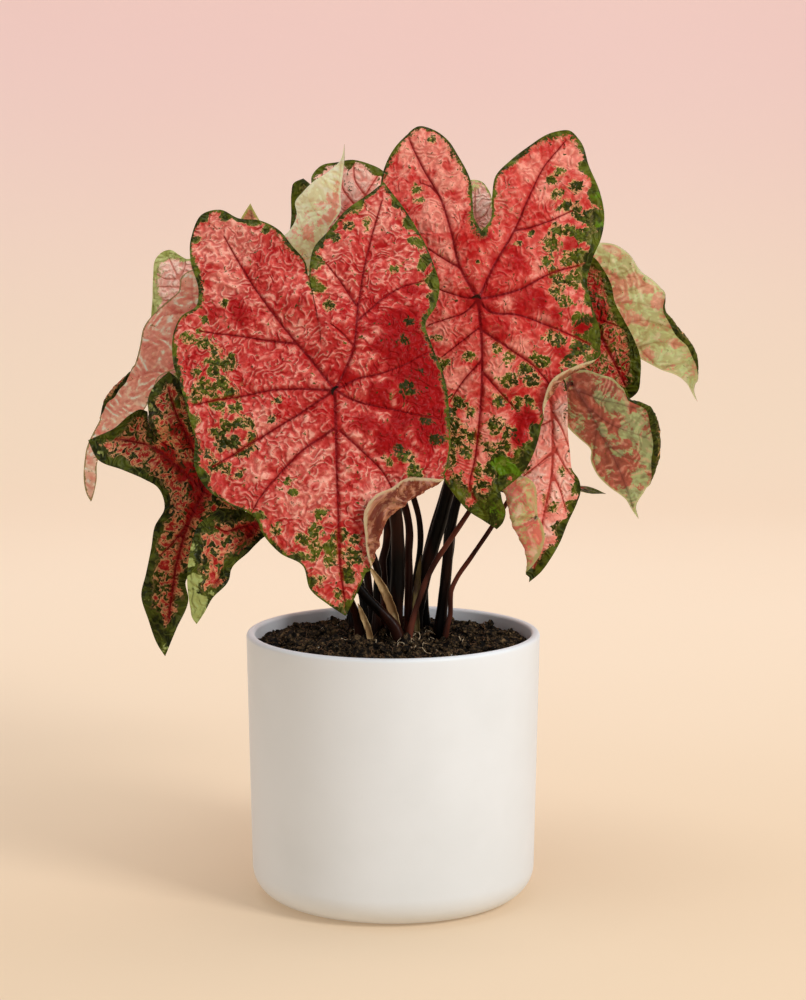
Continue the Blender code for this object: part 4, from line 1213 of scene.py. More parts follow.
class UpperFace(Face):
    """Upper face: mottled red with wrinkles in painted highlights and shade, dark veins, green margin and
    clusters.
    """

    specular = 0.09
    point_values = ("crest", "deep", "pale", "green", "edge", "vein", "bare")
    greens = LEAF_GREENS
    shade = CRIMSON
    line = VEIN_RED
    grain = GRAIN_SCALE
    fold = 1.0

    def lay_noise(self):
        """Noise of several sizes, and wrinkles of two sizes that take turns."""
        flat = self.place("flat")
        self.tone = self.noise(flat, TONE_SCALE, 3.0)
        self.cloud = self.noise(self.warped(flat, 5.0, 0.1), CLOUD_SCALE, 3.0, 0.55, 0.6)
        self.streak = self.noise(self.place("flow", (0.24, 0.12, 1.0)), 1.0, 2.0, 0.5, 0.8)
        self.speckle = self.noise(self.warped(flat, 2.0, 0.35), self.grain, 3.0, 0.6, 1.0)
        self.tooth = self.noise(self.warped(flat, 2.0, 0.3), TOOTH_SCALE, 2.0, 0.5, 0.6)
        broken = self.step(self.noise(self.warped(flat, 2.0, 0.2), BREAK_SCALE, 2.0, 0.5), 0.40, 0.60)
        kept = self.times(self.ripples(flat, 0.075, 7.0), broken)
        filled = self.times(self.ripples(flat, 0.11, 6.0, 0.05), self.math("SUBTRACT", 1.0, broken))
        self.ridge = self.math("ADD", kept, filled)

    def flesh(self):
        """Red, coral and salmon in clouds, with deeper areas."""
        red, coral, salmon, _ = self.reds
        # The crinkle's crests lighten the mottle a little: a painted highlight
        mottle = self.blend(
            (self.cloud, 0.50), (self.streak, 0.25), (self.tone, 0.25), (self.pale, 0.20),
            (self.deep, -0.22), (self.crest, 0.07), shift=-0.02,
        )
        colour = self.layers(red, (mottle, (0.36, 0.52), coral), (mottle, (0.50, 0.72), salmon))
        share = self.times(self.step(self.deep, -0.2, 1.0), self.step(mottle, 0.3, 0.6, 1.0, 0.75))
        return self.wrinkled(self.mix(share, colour, self.shade), mottle)

    def wrinkled(self, colour, mottle):
        """Painted shade in the furrows and painted highlights on the crests of the wrinkles."""
        # The depth of the folds also sets the strength of the painted shade and highlights
        strength = 0.55 * self.fold
        # Painted shade: a deeper red in the ripples' furrows
        colour = self.mix(self.step(self.ridge, 0.0, 0.5, strength, 0.0), colour, self.shade_red)
        # Painted shade in the crinkle's valleys, weaker in pale areas
        kept = self.step(self.pale, 0.0, 1.0, 1.0, 0.5)
        crest_shade = self.times(self.step(self.crest, 0.0, 0.42, strength, 0.0), kept)
        colour = self.mix(crest_shade, colour, self.shade_red)
        # Painted highlights in the palest red on the ripples' ridges and the crinkle's crests, fewer in
        # deep areas
        lit = self.step(self.ridge, 0.62, 1.0, 0.0, strength)
        high = self.times(self.step(self.crest, 0.66, 1.0), self.step(self.streak, 0.38, 0.60, 0.1, 0.4))
        shown = self.step(self.deep, 0.0, 0.6, 0.85, 0.05)
        highlight_stroke = self.times(self.math("MAXIMUM", lit, high), shown)
        highlight_stroke = self.times(highlight_stroke, self.step(mottle, 0.36, 0.62, 0.35, 1.0))
        return self.mix(highlight_stroke, colour, self.reds[3])

    def clustered(self, colour):
        """Green flecks in clusters, with cream round them."""
        cluster = self.blend(
            (self.speckle, 1.0), (self.green, 0.27), (self.cloud, 0.14), (self.ridge, 0.14), shift=-0.175
        )
        near = self.times(self.step(cluster, 0.50, 0.59), self.step(self.green, 0.1, 0.6, 0.0, 0.7))
        near = self.times(near, self.step(self.deep, 0.1, 0.6, 1.0, 0.1))
        mottle = self.blend((self.tone, 0.5), (self.tooth, 0.5))
        leafy = self.layers(
            self.greens[0], (mottle, (0.42, 0.60), self.greens[1]),
            (self.tooth, (0.54, 0.74, 0.0, 0.30), LIGHT_GREEN),
            (self.deep, (0.2, 0.8, 0.0, 0.85), NIGHT_GREEN),
        )
        leafy = self.mix(self.bright(), leafy, self.greens[2])
        colour = self.mix(near, colour, CREAM)
        return self.mix(self.step(cluster, 0.60, 0.675), colour, leafy)

    def bright(self):
        """Share of the brightest green, inside the strongest clusters."""
        return self.step(self.blend((self.green, 1.0), (self.speckle, 2.5), (self.cloud, 1.5)), 4.1, 4.5)

    def veined(self, colour):
        """Dark veins with a soft shade beside them."""
        shade = (self.vein, (1.0, 6.0, 0.62, 0.0), self.shade_red)
        return self.layers(colour, shade, (self.vein, (0.6, 1.7, 0.95, 0.0), self.line))

    def edged(self, colour):
        """A green margin with a ragged inner edge, and painted highlights on its ridges."""
        ragged = self.blend(
            (self.edge, 1.0), (self.speckle, 3.0), (self.tone, 3.6), (self.bare, 4.0),
            (self.green, -0.9), shift=-3.3,
        )
        whole = self.step(self.blend((self.edge, 1.0), (self.bare, 2.0)), 0.25, 0.42, 1.0, 0.0)
        rim = self.math("MAXIMUM", self.step(ragged, 0.5, 0.8, 1.0, 0.0), whole)
        colour = self.mix(self.step(ragged, 0.7, 1.2, 0.16, 0.0), colour, CREAM)
        # Painted highlights in light green along the ripples' ridges on the margin
        green = self.layers(
            self.greens[0], (self.cloud, (0.40, 0.62), self.greens[1]),
            (self.ridge, (0.55, 0.95, 0.0, 0.14), LIGHT_GREEN),
        )
        return self.mix(rim, colour, self.mix(self.bright(), green, self.greens[2]))

    def paint(self):
        """The finished material."""
        # A deeper red for the painted shade in the furrows and beside the veins
        self.shade_red = self.mix(0.6, self.reds[0], self.shade)
        colour = self.edged(self.veined(self.clustered(self.flesh())))
        roughness = self.step(self.tooth, 0.3, 0.7, 0.30, 0.44)
        furrow = self.step(self.vein, 0.8, 3.0, -1.3, 0.0)
        height = self.blend((self.tooth, 0.3), (self.ridge, 0.75), (furrow, 0.35))
        return self.finish(colour, roughness, height, 0.85, 0.0013 * self.fold)


class Underside(Face):
    """Underside: pale and matt, rose and leaf colour in patches, with raised veins."""

    specular = 0.10
    point_values = ("crest", "edge", "vein")
    # The fleck share and the light colour are the strength and colour of the painted highlights
    fleck = 0.4
    rim = LIGHT_GREEN
    ribs = 0.5
    light = HIGHLIGHT_PINK

    def lay_noise(self):
        """Noise of several sizes, and wrinkles with breaks in them."""
        flat = self.place("flat", shift=(400, 400, 0))
        self.tone = self.noise(flat, 0.06, 3.0)
        self.streak = self.noise(self.place("flow", (0.26, 0.15, 1.0), (60, 3, 0)), 1.0, 4.0, 0.62, 0.9)
        self.speckle = self.noise(self.warped(flat, 3.0, 0.2), 0.36, 4.0, 0.62, 1.0)
        self.tooth = self.noise(self.warped(flat, 2.0, 0.3), TOOTH_SCALE, 3.0, 0.6, 0.8)
        self.ridge = self.ripples(flat, 0.05, 7.0)
        self.broken = self.noise(self.warped(flat, 2.0, 0.2), 0.22, 2.0, 0.5)

    def flesh(self):
        """Rose and leaf colour in patches, with painted shade in the creases and painted highlights on the
        crests.
        """
        areas = self.math("SUBTRACT", self.value("leafy"), self.value("rosy"))
        patch = self.blend(
            (self.speckle, 0.40), (self.streak, 0.30), (self.tone, 0.3), (areas, 0.14), (self.ridge, 0.03)
        )
        # The net colour also lies in the crinkle's valleys as painted shade
        colour = self.layers(
            self.rose, (patch, (self.share - 0.01, self.share + 0.05), self.leafy),
            (self.crest, (0.25, 0.6, 0.30, 0.0), self.net),
        )
        # Painted shade in the net colour along the ripples' furrows
        gaps = self.step(self.broken, 0.36, 0.60)
        dark = self.times(self.step(self.ridge, 0.0, 0.4, 0.35, 0.0), gaps)
        colour = self.mix(dark, colour, self.net)
        # Painted highlights on the ripples' ridges and the crinkle's crests
        gaps = self.step(self.broken, 0.42, 0.62)
        lit = self.times(self.step(self.ridge, 0.6, 1.0, 0.0, self.fleck), gaps)
        high = self.times(self.step(self.crest, 0.7, 1.0, 0.0, self.fleck), self.step(self.tooth, 0.4, 0.6))
        colour = self.mix(self.math("MAXIMUM", lit, high), colour, self.light)
        return self.mix(self.step(self.speckle, 0.655, 0.69, 0.0, 0.7), colour, OLIVE)

    def veined(self, colour):
        """Veins in the net's colour, with a soft shade beside them."""
        shade = (self.vein, (1.2, 5.0, 0.5 * self.ribs, 0.0), self.net)
        return self.layers(colour, shade, (self.vein, (0.4, 1.2, self.ribs, 0.0), self.net))

    def edged(self, colour):
        """A thin margin with a ragged inner edge."""
        ragged = self.blend((self.edge, 1.0), (self.streak, 1.6), shift=-0.8)
        return self.mix(self.step(ragged, 0.3, 0.7, 0.85, 0.0), colour, self.rim)

    def paint(self):
        """The finished material, which lets some light through."""
        self.shader.inputs["Subsurface Weight"].default_value = UNDER_GLOW
        self.shader.inputs["Subsurface Radius"].default_value = (1.0, 1.0, 0.8)
        self.shader.inputs["Subsurface Scale"].default_value = UNDER_REACH
        colour = self.edged(self.veined(self.flesh()))
        roughness = self.step(self.tooth, 0.3, 0.7, 0.48, 0.62)
        height = self.blend((self.tooth, 0.4), (self.ridge, 0.35), (self.streak, 0.5))
        return self.finish(colour, roughness, height, 0.6, 0.0008)


STEM_STREAK = rgb(96, 58, 48)
SHEATH_FIBRE = rgb(96, 74, 46)
GLAZE = rgb(238, 243, 247)
GLAZE_SHADE = rgb(230, 235, 238)
GLAZE_SPECK = rgb(196, 186, 170)
SOIL_FLECK = rgb(120, 92, 62)
TUBER_DARK = rgb(112, 78, 50)
TUBER_PALE = rgb(158, 122, 84)
TUBER_SKIN = rgb(70, 46, 30)
TUBER_EYE = rgb(48, 30, 20)


def stem_look(name, dark, maroon_and_sheen, share):
    """Petiole: near black or maroon, glossy, with fine streaks along it; the maroon clouds are partly
    painted sheen.
    """
    look = Look(name, specular=0.10)
    long = look.noise(look.spot((900, 900, 28)), 1.0, 4.0, 0.6)
    slow = look.noise(look.spot((60, 60, 22)), 1.0, 2.0)
    streak = (long, (0.60, 0.80, 0.0, 0.22), STEM_STREAK)
    # The lighter colour, in slow random clouds, is partly the stem's own maroon and partly painted sheen
    colour = look.layers(dark, (slow, (share - 0.1, share + 0.1), maroon_and_sheen), streak)
    roughness = look.step(long, 0.3, 0.7, 0.30, 0.46)
    return look.finish(colour, roughness, long, 0.25, 0.0004)


def sheath_look(name, pale, brown):
    """Papery sheath with lengthwise fibres."""
    look = Look(name, specular=0.3)
    fibre = look.noise(look.spot((1500, 1500, 60)), 1.0, 4.0, 0.65)
    patch = look.noise(look.spot((160, 160, 90)), 1.0, 3.0)
    colour = look.layers(pale, (patch, (0.42, 0.62), brown), (fibre, (0.56, 0.72, 0.0, 0.6), SHEATH_FIBRE))
    return look.finish(colour, look.step(fibre, 0.3, 0.7, 0.5, 0.75), fibre, 0.5, 0.0003)


def pot_look():
    """Matt white ceramic with a faint mottle and a fine tooth."""
    look = Look("pot_white", specular=0.38)
    cloud = look.noise(look.spot(), 9.0, 4.0)
    tooth = look.noise(look.spot(), 900.0, 3.0, 0.7)
    ripple = look.noise(look.spot((14, 14, 60)), 1.0, 2.0)
    speck = (look.dots(look.spot(), 260.0), (0.05, 0.09, 0.10, 0.0), GLAZE_SPECK)
    colour = look.layers(GLAZE, (cloud, (0.35, 0.7), GLAZE_SHADE), speck)
    height = look.blend((tooth, 0.5), (ripple, 1.2))
    return look.finish(colour, look.step(tooth, 0.3, 0.7, 0.40, 0.52), height, 0.18, 0.0003)


def soil_look(name, dark, light, scale):
    """Moist crumbly soil: near black with brown grains."""
    look = Look(name, specular=0.12)
    grain = look.noise(look.spot(), scale, 6.0, 0.7)
    cloud = look.noise(look.spot(), scale * 0.12, 3.0)
    fleck = look.dots(look.spot(), scale * 0.7)
    colour = look.layers(
        dark, (grain, (0.46, 0.72), light), (cloud, (0.4, 0.65, 0.0, 0.45), dark),
        (fleck, (0.08, 0.16, 0.5, 0.0), SOIL_FLECK),
    )
    return look.finish(colour, look.step(grain, 0.3, 0.7, 0.72, 0.95), grain, 0.8, 0.0010)


def tuber_look():
    """Rough brown skin with paler rings and dark eyes."""
    look = Look("tuber_skin", specular=0.2)
    rings = look.noise(look.spot((40, 40, 420)), 1.0, 4.0, 0.6, 0.6)
    skin = look.noise(look.spot(), 240.0, 5.0, 0.65)
    eyes = look.dots(look.spot(), 90.0)
    colour = look.layers(
        TUBER_DARK, (rings, (0.40, 0.62), TUBER_PALE), (skin, (0.5, 0.7, 0.0, 0.6), TUBER_SKIN),
        (eyes, (0.10, 0.22, 0.8, 0.0), TUBER_EYE),
    )
    height = look.blend((rings, 0.6), (skin, 0.5))
    return look.finish(colour, look.step(skin, 0.3, 0.7, 0.7, 0.92), height, 0.7, 0.0012)


def plain_look(name, base, second, scale, roughness=0.7):
    """Two close colours in small clouds, for roots and perlite."""
    look = Look(name, specular=0.3)
    cloud = look.noise(look.spot(), scale, 4.0, 0.6)
    colour = look.mix(look.step(cloud, 0.4, 0.62), base, second)
    rough = look.step(cloud, 0.3, 0.7, roughness - 0.08, roughness + 0.08)
    return look.finish(colour, rough, cloud, 0.5, 0.0003)


# Upper faces: the last red is the painted highlight colour; fold depth also sets painted shade and
# highlight strength
UPPER_FACES = {
    "coral": dict(reds=(RED, CORAL, SALMON, HIGHLIGHT_PINK), fold=0.95),
    "rosy": dict(reds=(rgb(196, 32, 30), rgb(218, 84, 72), rgb(240, 142, 122), HIGHLIGHT_PINK), fold=0.55),
    "dark": dict(
        reds=(rgb(156, 22, 18), rgb(190, 58, 48), rgb(216, 112, 90), rgb(232, 160, 128)),
        greens=(rgb(30, 34, 7), rgb(70, 76, 17), GREY_GREEN), grain=0.26,
    ),
    "pink": dict(
        reds=(rgb(242, 126, 110), rgb(250, 162, 142), rgb(254, 200, 178), rgb(255, 232, 212)),
        shade=rgb(212, 84, 72), line=rgb(178, 60, 48), fold=0.6,
    ),
    "blush": dict(
        reds=(rgb(232, 156, 140), rgb(242, 178, 160), rgb(248, 206, 186), rgb(252, 226, 208)),
        greens=(rgb(150, 154, 78), rgb(190, 192, 124), GREY_GREEN),
        shade=rgb(216, 126, 110), line=rgb(206, 124, 106),
    ),
}
# Undersides: light and fleck give the painted highlights' colour and strength; the net colour also paints
# shade in creases
UNDERSIDES = {
    "tan": dict(
        rose=rgb(124, 60, 40), leafy=rgb(176, 120, 86), net=rgb(72, 26, 20), share=0.50, fleck=0.3,
        rim=rgb(196, 182, 142),
    ),
    "rose": dict(
        rose=rgb(250, 180, 176), leafy=rgb(255, 210, 200), net=rgb(196, 84, 92), share=0.52, fleck=1.0,
        rim=OLIVE, ribs=0.3, light=rgb(255, 246, 236),
    ),
    "green_grey": dict(
        rose=rgb(150, 120, 82), leafy=rgb(140, 140, 84), net=rgb(92, 70, 46), share=0.46, fleck=0.15,
    ),
    "pistachio": dict(
        rose=rgb(248, 172, 156), leafy=rgb(236, 246, 200), net=rgb(196, 140, 112), share=0.465, fleck=0.6,
        rim=rgb(220, 228, 176), ribs=0.25, light=rgb(246, 240, 214),
    ),
    "sage": dict(
        rose=rgb(244, 184, 168), leafy=rgb(209, 232, 180), net=rgb(178, 124, 98), share=0.50, fleck=0.6,
        rim=rgb(200, 214, 160), ribs=0.3, light=rgb(246, 236, 206),
    ),
    "moss": dict(
        rose=rgb(214, 146, 122), leafy=rgb(164, 158, 100), net=rgb(100, 70, 46), share=0.50,
    ),
    "rose_green": dict(
        rose=rgb(198, 116, 106), leafy=rgb(188, 206, 162), net=rgb(104, 56, 46), share=0.50, fleck=0.5,
        rim=rgb(184, 194, 142), ribs=0.35, light=rgb(240, 190, 176),
    ),
    "blush": dict(
        rose=rgb(232, 136, 120), leafy=rgb(196, 196, 134), net=rgb(150, 80, 60), share=0.49, fleck=0.6,
        rim=rgb(172, 176, 118), ribs=0.3,
    ),
}
MATERIALS = {
    "stem_dark": stem_look("stem_dark", rgb(6, 3, 2), rgb(50, 22, 12), 0.56),
    "stem_red": stem_look("stem_red", rgb(44, 20, 13), rgb(104, 54, 40), 0.5),
    "sheath_pale": sheath_look("sheath_pale", rgb(196, 166, 118), rgb(140, 106, 66)),
    "sheath_green": sheath_look("sheath_green", rgb(104, 88, 48), rgb(66, 46, 26)),
    "pot": pot_look(),
    "soil": soil_look("soil_dark", rgb(10, 7, 5), rgb(134, 108, 76), 340.0),
    "crumb": soil_look("soil_crumb", rgb(24, 18, 11), rgb(148, 120, 84), 480.0),
    "tuber": tuber_look(),
    "perlite": plain_look("perlite", rgb(226, 220, 208), rgb(190, 180, 164), 900.0),
    "root": plain_look("root", rgb(214, 196, 164), rgb(160, 134, 100), 300.0),
    "fibre": plain_look("fibre", rgb(112, 80, 52), rgb(58, 38, 24), 400.0),
}
for face_name, face in UPPER_FACES.items():
    MATERIALS["upper_" + face_name] = UpperFace("upper_" + face_name, **face).paint()
for face_name, face in UNDERSIDES.items():
    MATERIALS["under_" + face_name] = Underside("under_" + face_name, **face).paint()


# Stems and sheaths


def tube_faces(rings, sides):
    """Faces of a closed tube of rings with a point at each end, which come last."""
    faces = []
    first = rings * sides
    for side in range(sides):
        after = (side + 1) % sides
        for ring in range(rings - 1):
            low, high = ring * sides, (ring + 1) * sides
            faces.append((low + side, low + after, high + after, high + side))
        faces.append((first, after, side))
        faces.append((first + 1, (rings - 1) * sides + side, (rings - 1) * sides + after))
    return faces


def tube_points(route, radii, section):
    """Points of a tube whose section is a list of (across, out) shares of its radius."""
    ways = np.gradient(route, axis=0)
    side = unit(np.cross(ways[0], (0.0, 1.0, 0.0)))
    points = []
    for centre, way, radius in zip(route, ways, radii):
        way = unit(way)
        side = unit(side - (side @ way) * way)
        other = np.cross(way, side)
        points += [centre + radius * (a * side + b * other) for a, b in section]
    return points + [route[0], route[-1]]


def route_of(name, step, widest):
    """A tube node's middle line sampled about every step, and its radius along it."""
    rings = rings_of(name)
    centres = np.array([ring.mean(axis=0) for ring in rings])
    widths = np.array([widest(np.linalg.norm(ring - ring.mean(axis=0), axis=1)) for ring in rings])
    route = curve(centres, step)
    shares = np.linspace(0, 1, len(route))
    return route, np.interp(shares, np.linspace(0, 1, len(widths)), widths)


def stem(name, look):
    """A fine petiole along its node's rings, a little wider at the foot and grown into the hub."""
    route, radii = route_of(name, 3.0, np.mean)
    lift = route[:, 2] - SOIL_EDGE
    radii = radii * (1 + 0.22 * (1 - smooth(2.0, 24.0, lift)))
    radii = radii * (1 + 0.03 * np.sin(np.arange(len(route)) * 0.9 + len(name)))
    end = unit(route[-1] - route[-2])
    route = np.vstack([route, route[-1] + 0.3 * end, route[-1] + 0.6 * end])
    radii = np.concatenate([radii, [radii[-1] * 1.1, radii[-1] * 1.2]])
    section = []
    for corner in range(STEM_SIDES):
        turn = 2 * math.pi * corner / STEM_SIDES
        ridge = 1 + 0.05 * math.cos(3 * turn)
        section.append((ridge * math.cos(turn), ridge * math.sin(turn)))
    points = tube_points(route, radii, section)
    faces = tube_faces(len(route), STEM_SIDES)
    keep(solid("petiole_" + name.removeprefix("stem_"), points, faces, [look]), name)


def sheath(name, look):
    """A papery sheath: a curled strip that tapers to its tip."""
    route, radii = route_of(name, 1.5, np.max)
    radii = radii * 1.15
    radii = radii * (1 + 0.06 * np.sin(np.arange(len(route)) * 1.7)) + 0.12
    turns = np.linspace(-1.35, 1.35, SHEATH_SIDES // 2)
    outer = [(math.sin(turn), 0.5 - 0.75 * math.cos(turn)) for turn in turns]
    turns = np.linspace(1.3, -1.3, SHEATH_SIDES // 2)
    inner = [(0.9 * math.sin(turn), 0.62 - 0.68 * math.cos(turn)) for turn in turns]
    points = tube_points(route, radii, outer + inner)
    keep(solid(name + "_fine", points, tube_faces(len(route), SHEATH_SIDES), [look], sharp=60), name)


# Pot and soil


def side_radius(height):
    """Outer radius of the pot at a height."""
    if height < CORNER_RADIUS:
        rise = 1 - height / CORNER_RADIUS
        return BODY_RADIUS - CORNER_RADIUS * (1 - math.sqrt(1 - rise * rise))
    share = (height - CORNER_RADIUS) / (POT_HEIGHT - CORNER_RADIUS)
    return BODY_RADIUS + (RIM_RADIUS - BODY_RADIUS) * share


def arc(middle, radius, start, end, steps):
    """Points on an arc: (radius from the axis, height)."""
    turns = np.radians(np.linspace(start, end, steps))
    return [(middle[0] + radius * math.cos(turn), middle[1] + radius * math.sin(turn)) for turn in turns]


def lathe(name, profile, sides, look):
    """A turned body from (radius, height) points that start and end on the axis."""
    points = []
    for radius, height in profile[1:-1]:
        for turn in 2 * np.pi * np.arange(sides) / sides:
            points.append((radius * math.cos(turn), radius * math.sin(turn), height))
    points += [(0.0, 0.0, profile[0][1]), (0.0, 0.0, profile[-1][1])]
    return solid(name, points, tube_faces(len(profile) - 2, sides), [look])


def pot():
    """The pot with round corner, round lip and a smooth side."""
    profile = [(0.0, 0.0), (BODY_RADIUS - CORNER_RADIUS - FOOT_INSET, 0.0)]
    profile += arc((BODY_RADIUS - CORNER_RADIUS, CORNER_RADIUS), CORNER_RADIUS, -90, 0, 18)
    profile += [(side_radius(height), height) for height in np.linspace(CORNER_RADIUS, SHOULDER, 14)[1:]]
    profile += arc((RIM_RADIUS - LIP_ROUND, POT_HEIGHT - LIP_ROUND), LIP_ROUND, 0, 90, 8)
    inner = RIM_RADIUS - WALL
    profile += arc((inner + INNER_LIP, POT_HEIGHT - INNER_LIP), INNER_LIP, 90, 180, 7)
    profile += [(side_radius(height) - WALL, height) for height in INNER_HEIGHTS]
    corner = CORNER_RADIUS - WALL
    profile += arc((BODY_RADIUS - WALL - corner, FLOOR + corner), corner, 0, -90, 9)
    profile += [(0.0, FLOOR)]
    keep(lathe("pot_fine", profile, POT_SIDES, MATERIALS["pot"]), "pot")


def soil_height(places):
    """Height of the soil's lumpy top at flat places round the pot's axis."""
    radius = np.linalg.norm(places, axis=1)
    rim = RIM_RADIUS - WALL - SOIL_GAP
    share = np.clip(radius / rim, 0, 1)
    level = SOIL_EDGE + SOIL_MOUND * np.cos(share * math.pi / 2) ** 1.5
    lumps = 1.5 * waves(places, 17.0, 11) + 1.1 * waves(places, 8.0, 12, 12)
    crumbs = 0.8 * np.abs(waves(places, 4.6, 13, 14)) + 0.5 * waves(places, 2.8, 14, 16)
    return level + (lumps + crumbs) * (0.35 + 0.65 * (1 - smooth(0.86, 1.0, share)))


def soil_radius(height):
    """Radius of the soil's side at a height, inside the pot's wall and round corner."""
    corner = CORNER_RADIUS - WALL
    if height >= FLOOR + corner:
        return side_radius(height) - WALL - SOIL_GAP
    rise = 1 - (height - FLOOR) / corner
    return BODY_RADIUS - WALL - SOIL_GAP - corner * (1 - math.sqrt(max(0, 1 - rise * rise)))


def soil():
    """Potting soil: a dense lumpy top over a plain body that fills the pot."""
    rim = RIM_RADIUS - WALL - SOIL_GAP
    around = 2 * np.pi * np.arange(SOIL_SIDES) / SOIL_SIDES
    points = []
    for ring in range(1, SOIL_RINGS + 1):
        radius = rim * ring / SOIL_RINGS
        turns = around + 0.5 * (ring % 2) * 2 * np.pi / SOIL_SIDES
        flat = np.stack([radius * np.cos(turns), radius * np.sin(turns)], axis=1)
        points.append(np.column_stack([flat, soil_height(flat)]))
    for height in SOIL_BODY:
        radius = soil_radius(height)
        level = np.full(SOIL_SIDES, height)
        points.append(np.column_stack([radius * np.cos(around), radius * np.sin(around), level]))
    rings = len(points)
    top = soil_height(np.zeros((1, 2)))[0]
    points = np.concatenate(points + [np.array([(0, 0, top), (0, 0, SOIL_FOOT)])])
    faces = [face[::-1] for face in tube_faces(rings, SOIL_SIDES)]
    keep(solid("soil_fine", points, faces, [MATERIALS["soil"]], sharp=60), "soil")


def lump(draw, size):
    """Points of one irregular crumb, from a rough ball: two poles with three rings between."""
    points = [(0, 0, -1)]
    for level, count in ((-0.62, LUMP_ENDS), (0.0, LUMP_MIDDLE), (0.62, LUMP_ENDS)):
        wide = math.sqrt(1 - level * level)
        for k in range(count):
            turn = 2 * math.pi * (k + draw.uniform(-0.25, 0.25)) / count
            points.append((wide * math.cos(turn), wide * math.sin(turn), level))
    points.append((0, 0, 1))
    points = np.array(points) * draw.uniform(0.72, 1.25, size=(LUMP_POINTS, 1))
    stretch = np.array([draw.uniform(0.7, 1.35), draw.uniform(0.6, 1.0), 0.7 * draw.uniform(0.7, 1.1)])
    return points * stretch * size


def lump_faces():
    """Faces of the rough ball."""
    low_ring = 1
    middle_ring = low_ring + LUMP_ENDS
    high_ring = middle_ring + LUMP_MIDDLE
    faces = []
    for k in range(LUMP_ENDS):
        after = (k + 1) % LUMP_ENDS
        faces.append((0, low_ring + after, low_ring + k))
        faces.append((LUMP_POINTS - 1, high_ring + k, high_ring + after))
    for ring, outward in ((low_ring, True), (high_ring, False)):
        i = j = 0
        while i < LUMP_ENDS or j < LUMP_MIDDLE:
            here, across = ring + i % LUMP_ENDS, middle_ring + j % LUMP_MIDDLE
            if j < LUMP_MIDDLE and (i >= LUMP_ENDS or (j + 0.5) / LUMP_MIDDLE <= (i + 0.5) / LUMP_ENDS):
                face = (here, middle_ring + (j + 1) % LUMP_MIDDLE, across)
                j += 1
            else:
                face = (here, ring + (i + 1) % LUMP_ENDS, across)
                i += 1
            faces.append(face if outward else face[::-1])
    return faces


def turned_lump(draw, points):
    """The lump turned at random."""
    matrix = np.linalg.qr(draw.normal(size=(3, 3)))[0]
    if np.linalg.det(matrix) < 0:
        matrix[:, 0] *= -1
    return points @ matrix.T


def scatter(name, count, sizes, look, seed, sink, reach=0.97):
    """Many crumbs on the soil, sunk in a little, in one piece."""
    draw = np.random.default_rng(seed)
    faces = lump_faces()
    points, shell = [], []
    rim = (RIM_RADIUS - WALL) * reach
    while len(shell) < count * len(faces):
        place = draw.uniform(-rim, rim, size=2)
        size = draw.uniform(*sizes) * draw.uniform(0.5, 1.0)
        if np.linalg.norm(place) > rim - size:
            continue
        body = turned_lump(draw, lump(draw, size))
        body += (*place, soil_height(place[None])[0] + size * sink)
        shell += [tuple(k + LUMP_POINTS * len(points) for k in face) for face in faces]
        points.append(body)
    piece = solid(name, np.concatenate(points), shell, [look], sharp=35)
    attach(piece, "root")


def thread_path(draw, spread):
    """A short wandering line on the soil, near the foot of the stems."""
    heading = draw.uniform(0, 2 * np.pi)
    path = [draw.normal(size=2) * spread + STEM_FOOT]
    for _ in range(draw.integers(3, 9)):
        heading += draw.normal() * 0.7
        path.append(path[-1] + draw.uniform(1.2, 2.8) * np.array([math.cos(heading), math.sin(heading)]))
    return np.array(path)


def threads(name, count, spread, thickness, arch, look, seed):
    """Fine roots or fibres that lie on the soil, round the foot of the stems."""
    draw = np.random.default_rng(seed)
    points, faces = [], []
    section = [(math.cos(a), math.sin(a)) for a in np.linspace(0, 2 * np.pi, THREAD_SIDES + 1)[:-1]]
    for _ in range(count):
        path = thread_path(draw, spread)
        if np.linalg.norm(path, axis=1).max() > RIM_RADIUS - WALL - 3:
            continue
        rise = draw.uniform(0.0, arch) * np.sin(np.linspace(0.1, math.pi, len(path)))
        line = curve(np.column_stack([path, soil_height(path) + 0.5 + rise]), 1.2)
        radii = thickness * draw.uniform(0.6, 1.3) * (1 - 0.6 * np.linspace(0, 1, len(line)))
        faces += [tuple(v + len(points) for v in face) for face in tube_faces(len(line), THREAD_SIDES)]
        points += tube_points(line, radii, section)
    piece = solid(name, points, faces, [look])
    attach(piece, "root")


# Studio, in metres: a floor that bends up into the backdrop, its colours, and soft lights that
# each look at a height on the plant's axis
FLOOR_HALF = 4.0
FLOOR_FRONT = -3.0
FLOOR_DEEP = 1.6
BACKDROP_BEND = 0.9
BACKDROP_HIGH = 2.6
FLOOR_NEAR = rgb(206, 182, 152)
FLOOR_FAR = rgb(246, 226, 201)
WALL_HIGH = rgb(242, 208, 202)
CLOUD_LIGHT = rgb(255, 246, 236)
BACKDROP_GLOW = 0.28
WORLD_COLOUR = (0.99, 0.98, 0.97, 1.0)
WORLD_GLOW = 0.38
LIGHTS = {
    "key": dict(place=(1.2, -1.1, 1.2), aim=0.22, size=0.55, power=20.0, colour=(0.98, 0.99, 1.0)),
    "fill": dict(place=(-1.6, -1.1, 0.5), aim=0.2, size=1.2, power=3.0, colour=(0.95, 0.98, 1.0)),
    "top": dict(place=(-0.1, 0.1, 1.9), aim=0.2, size=1.2, power=12.5, colour=(0.96, 0.98, 1.0)),
}


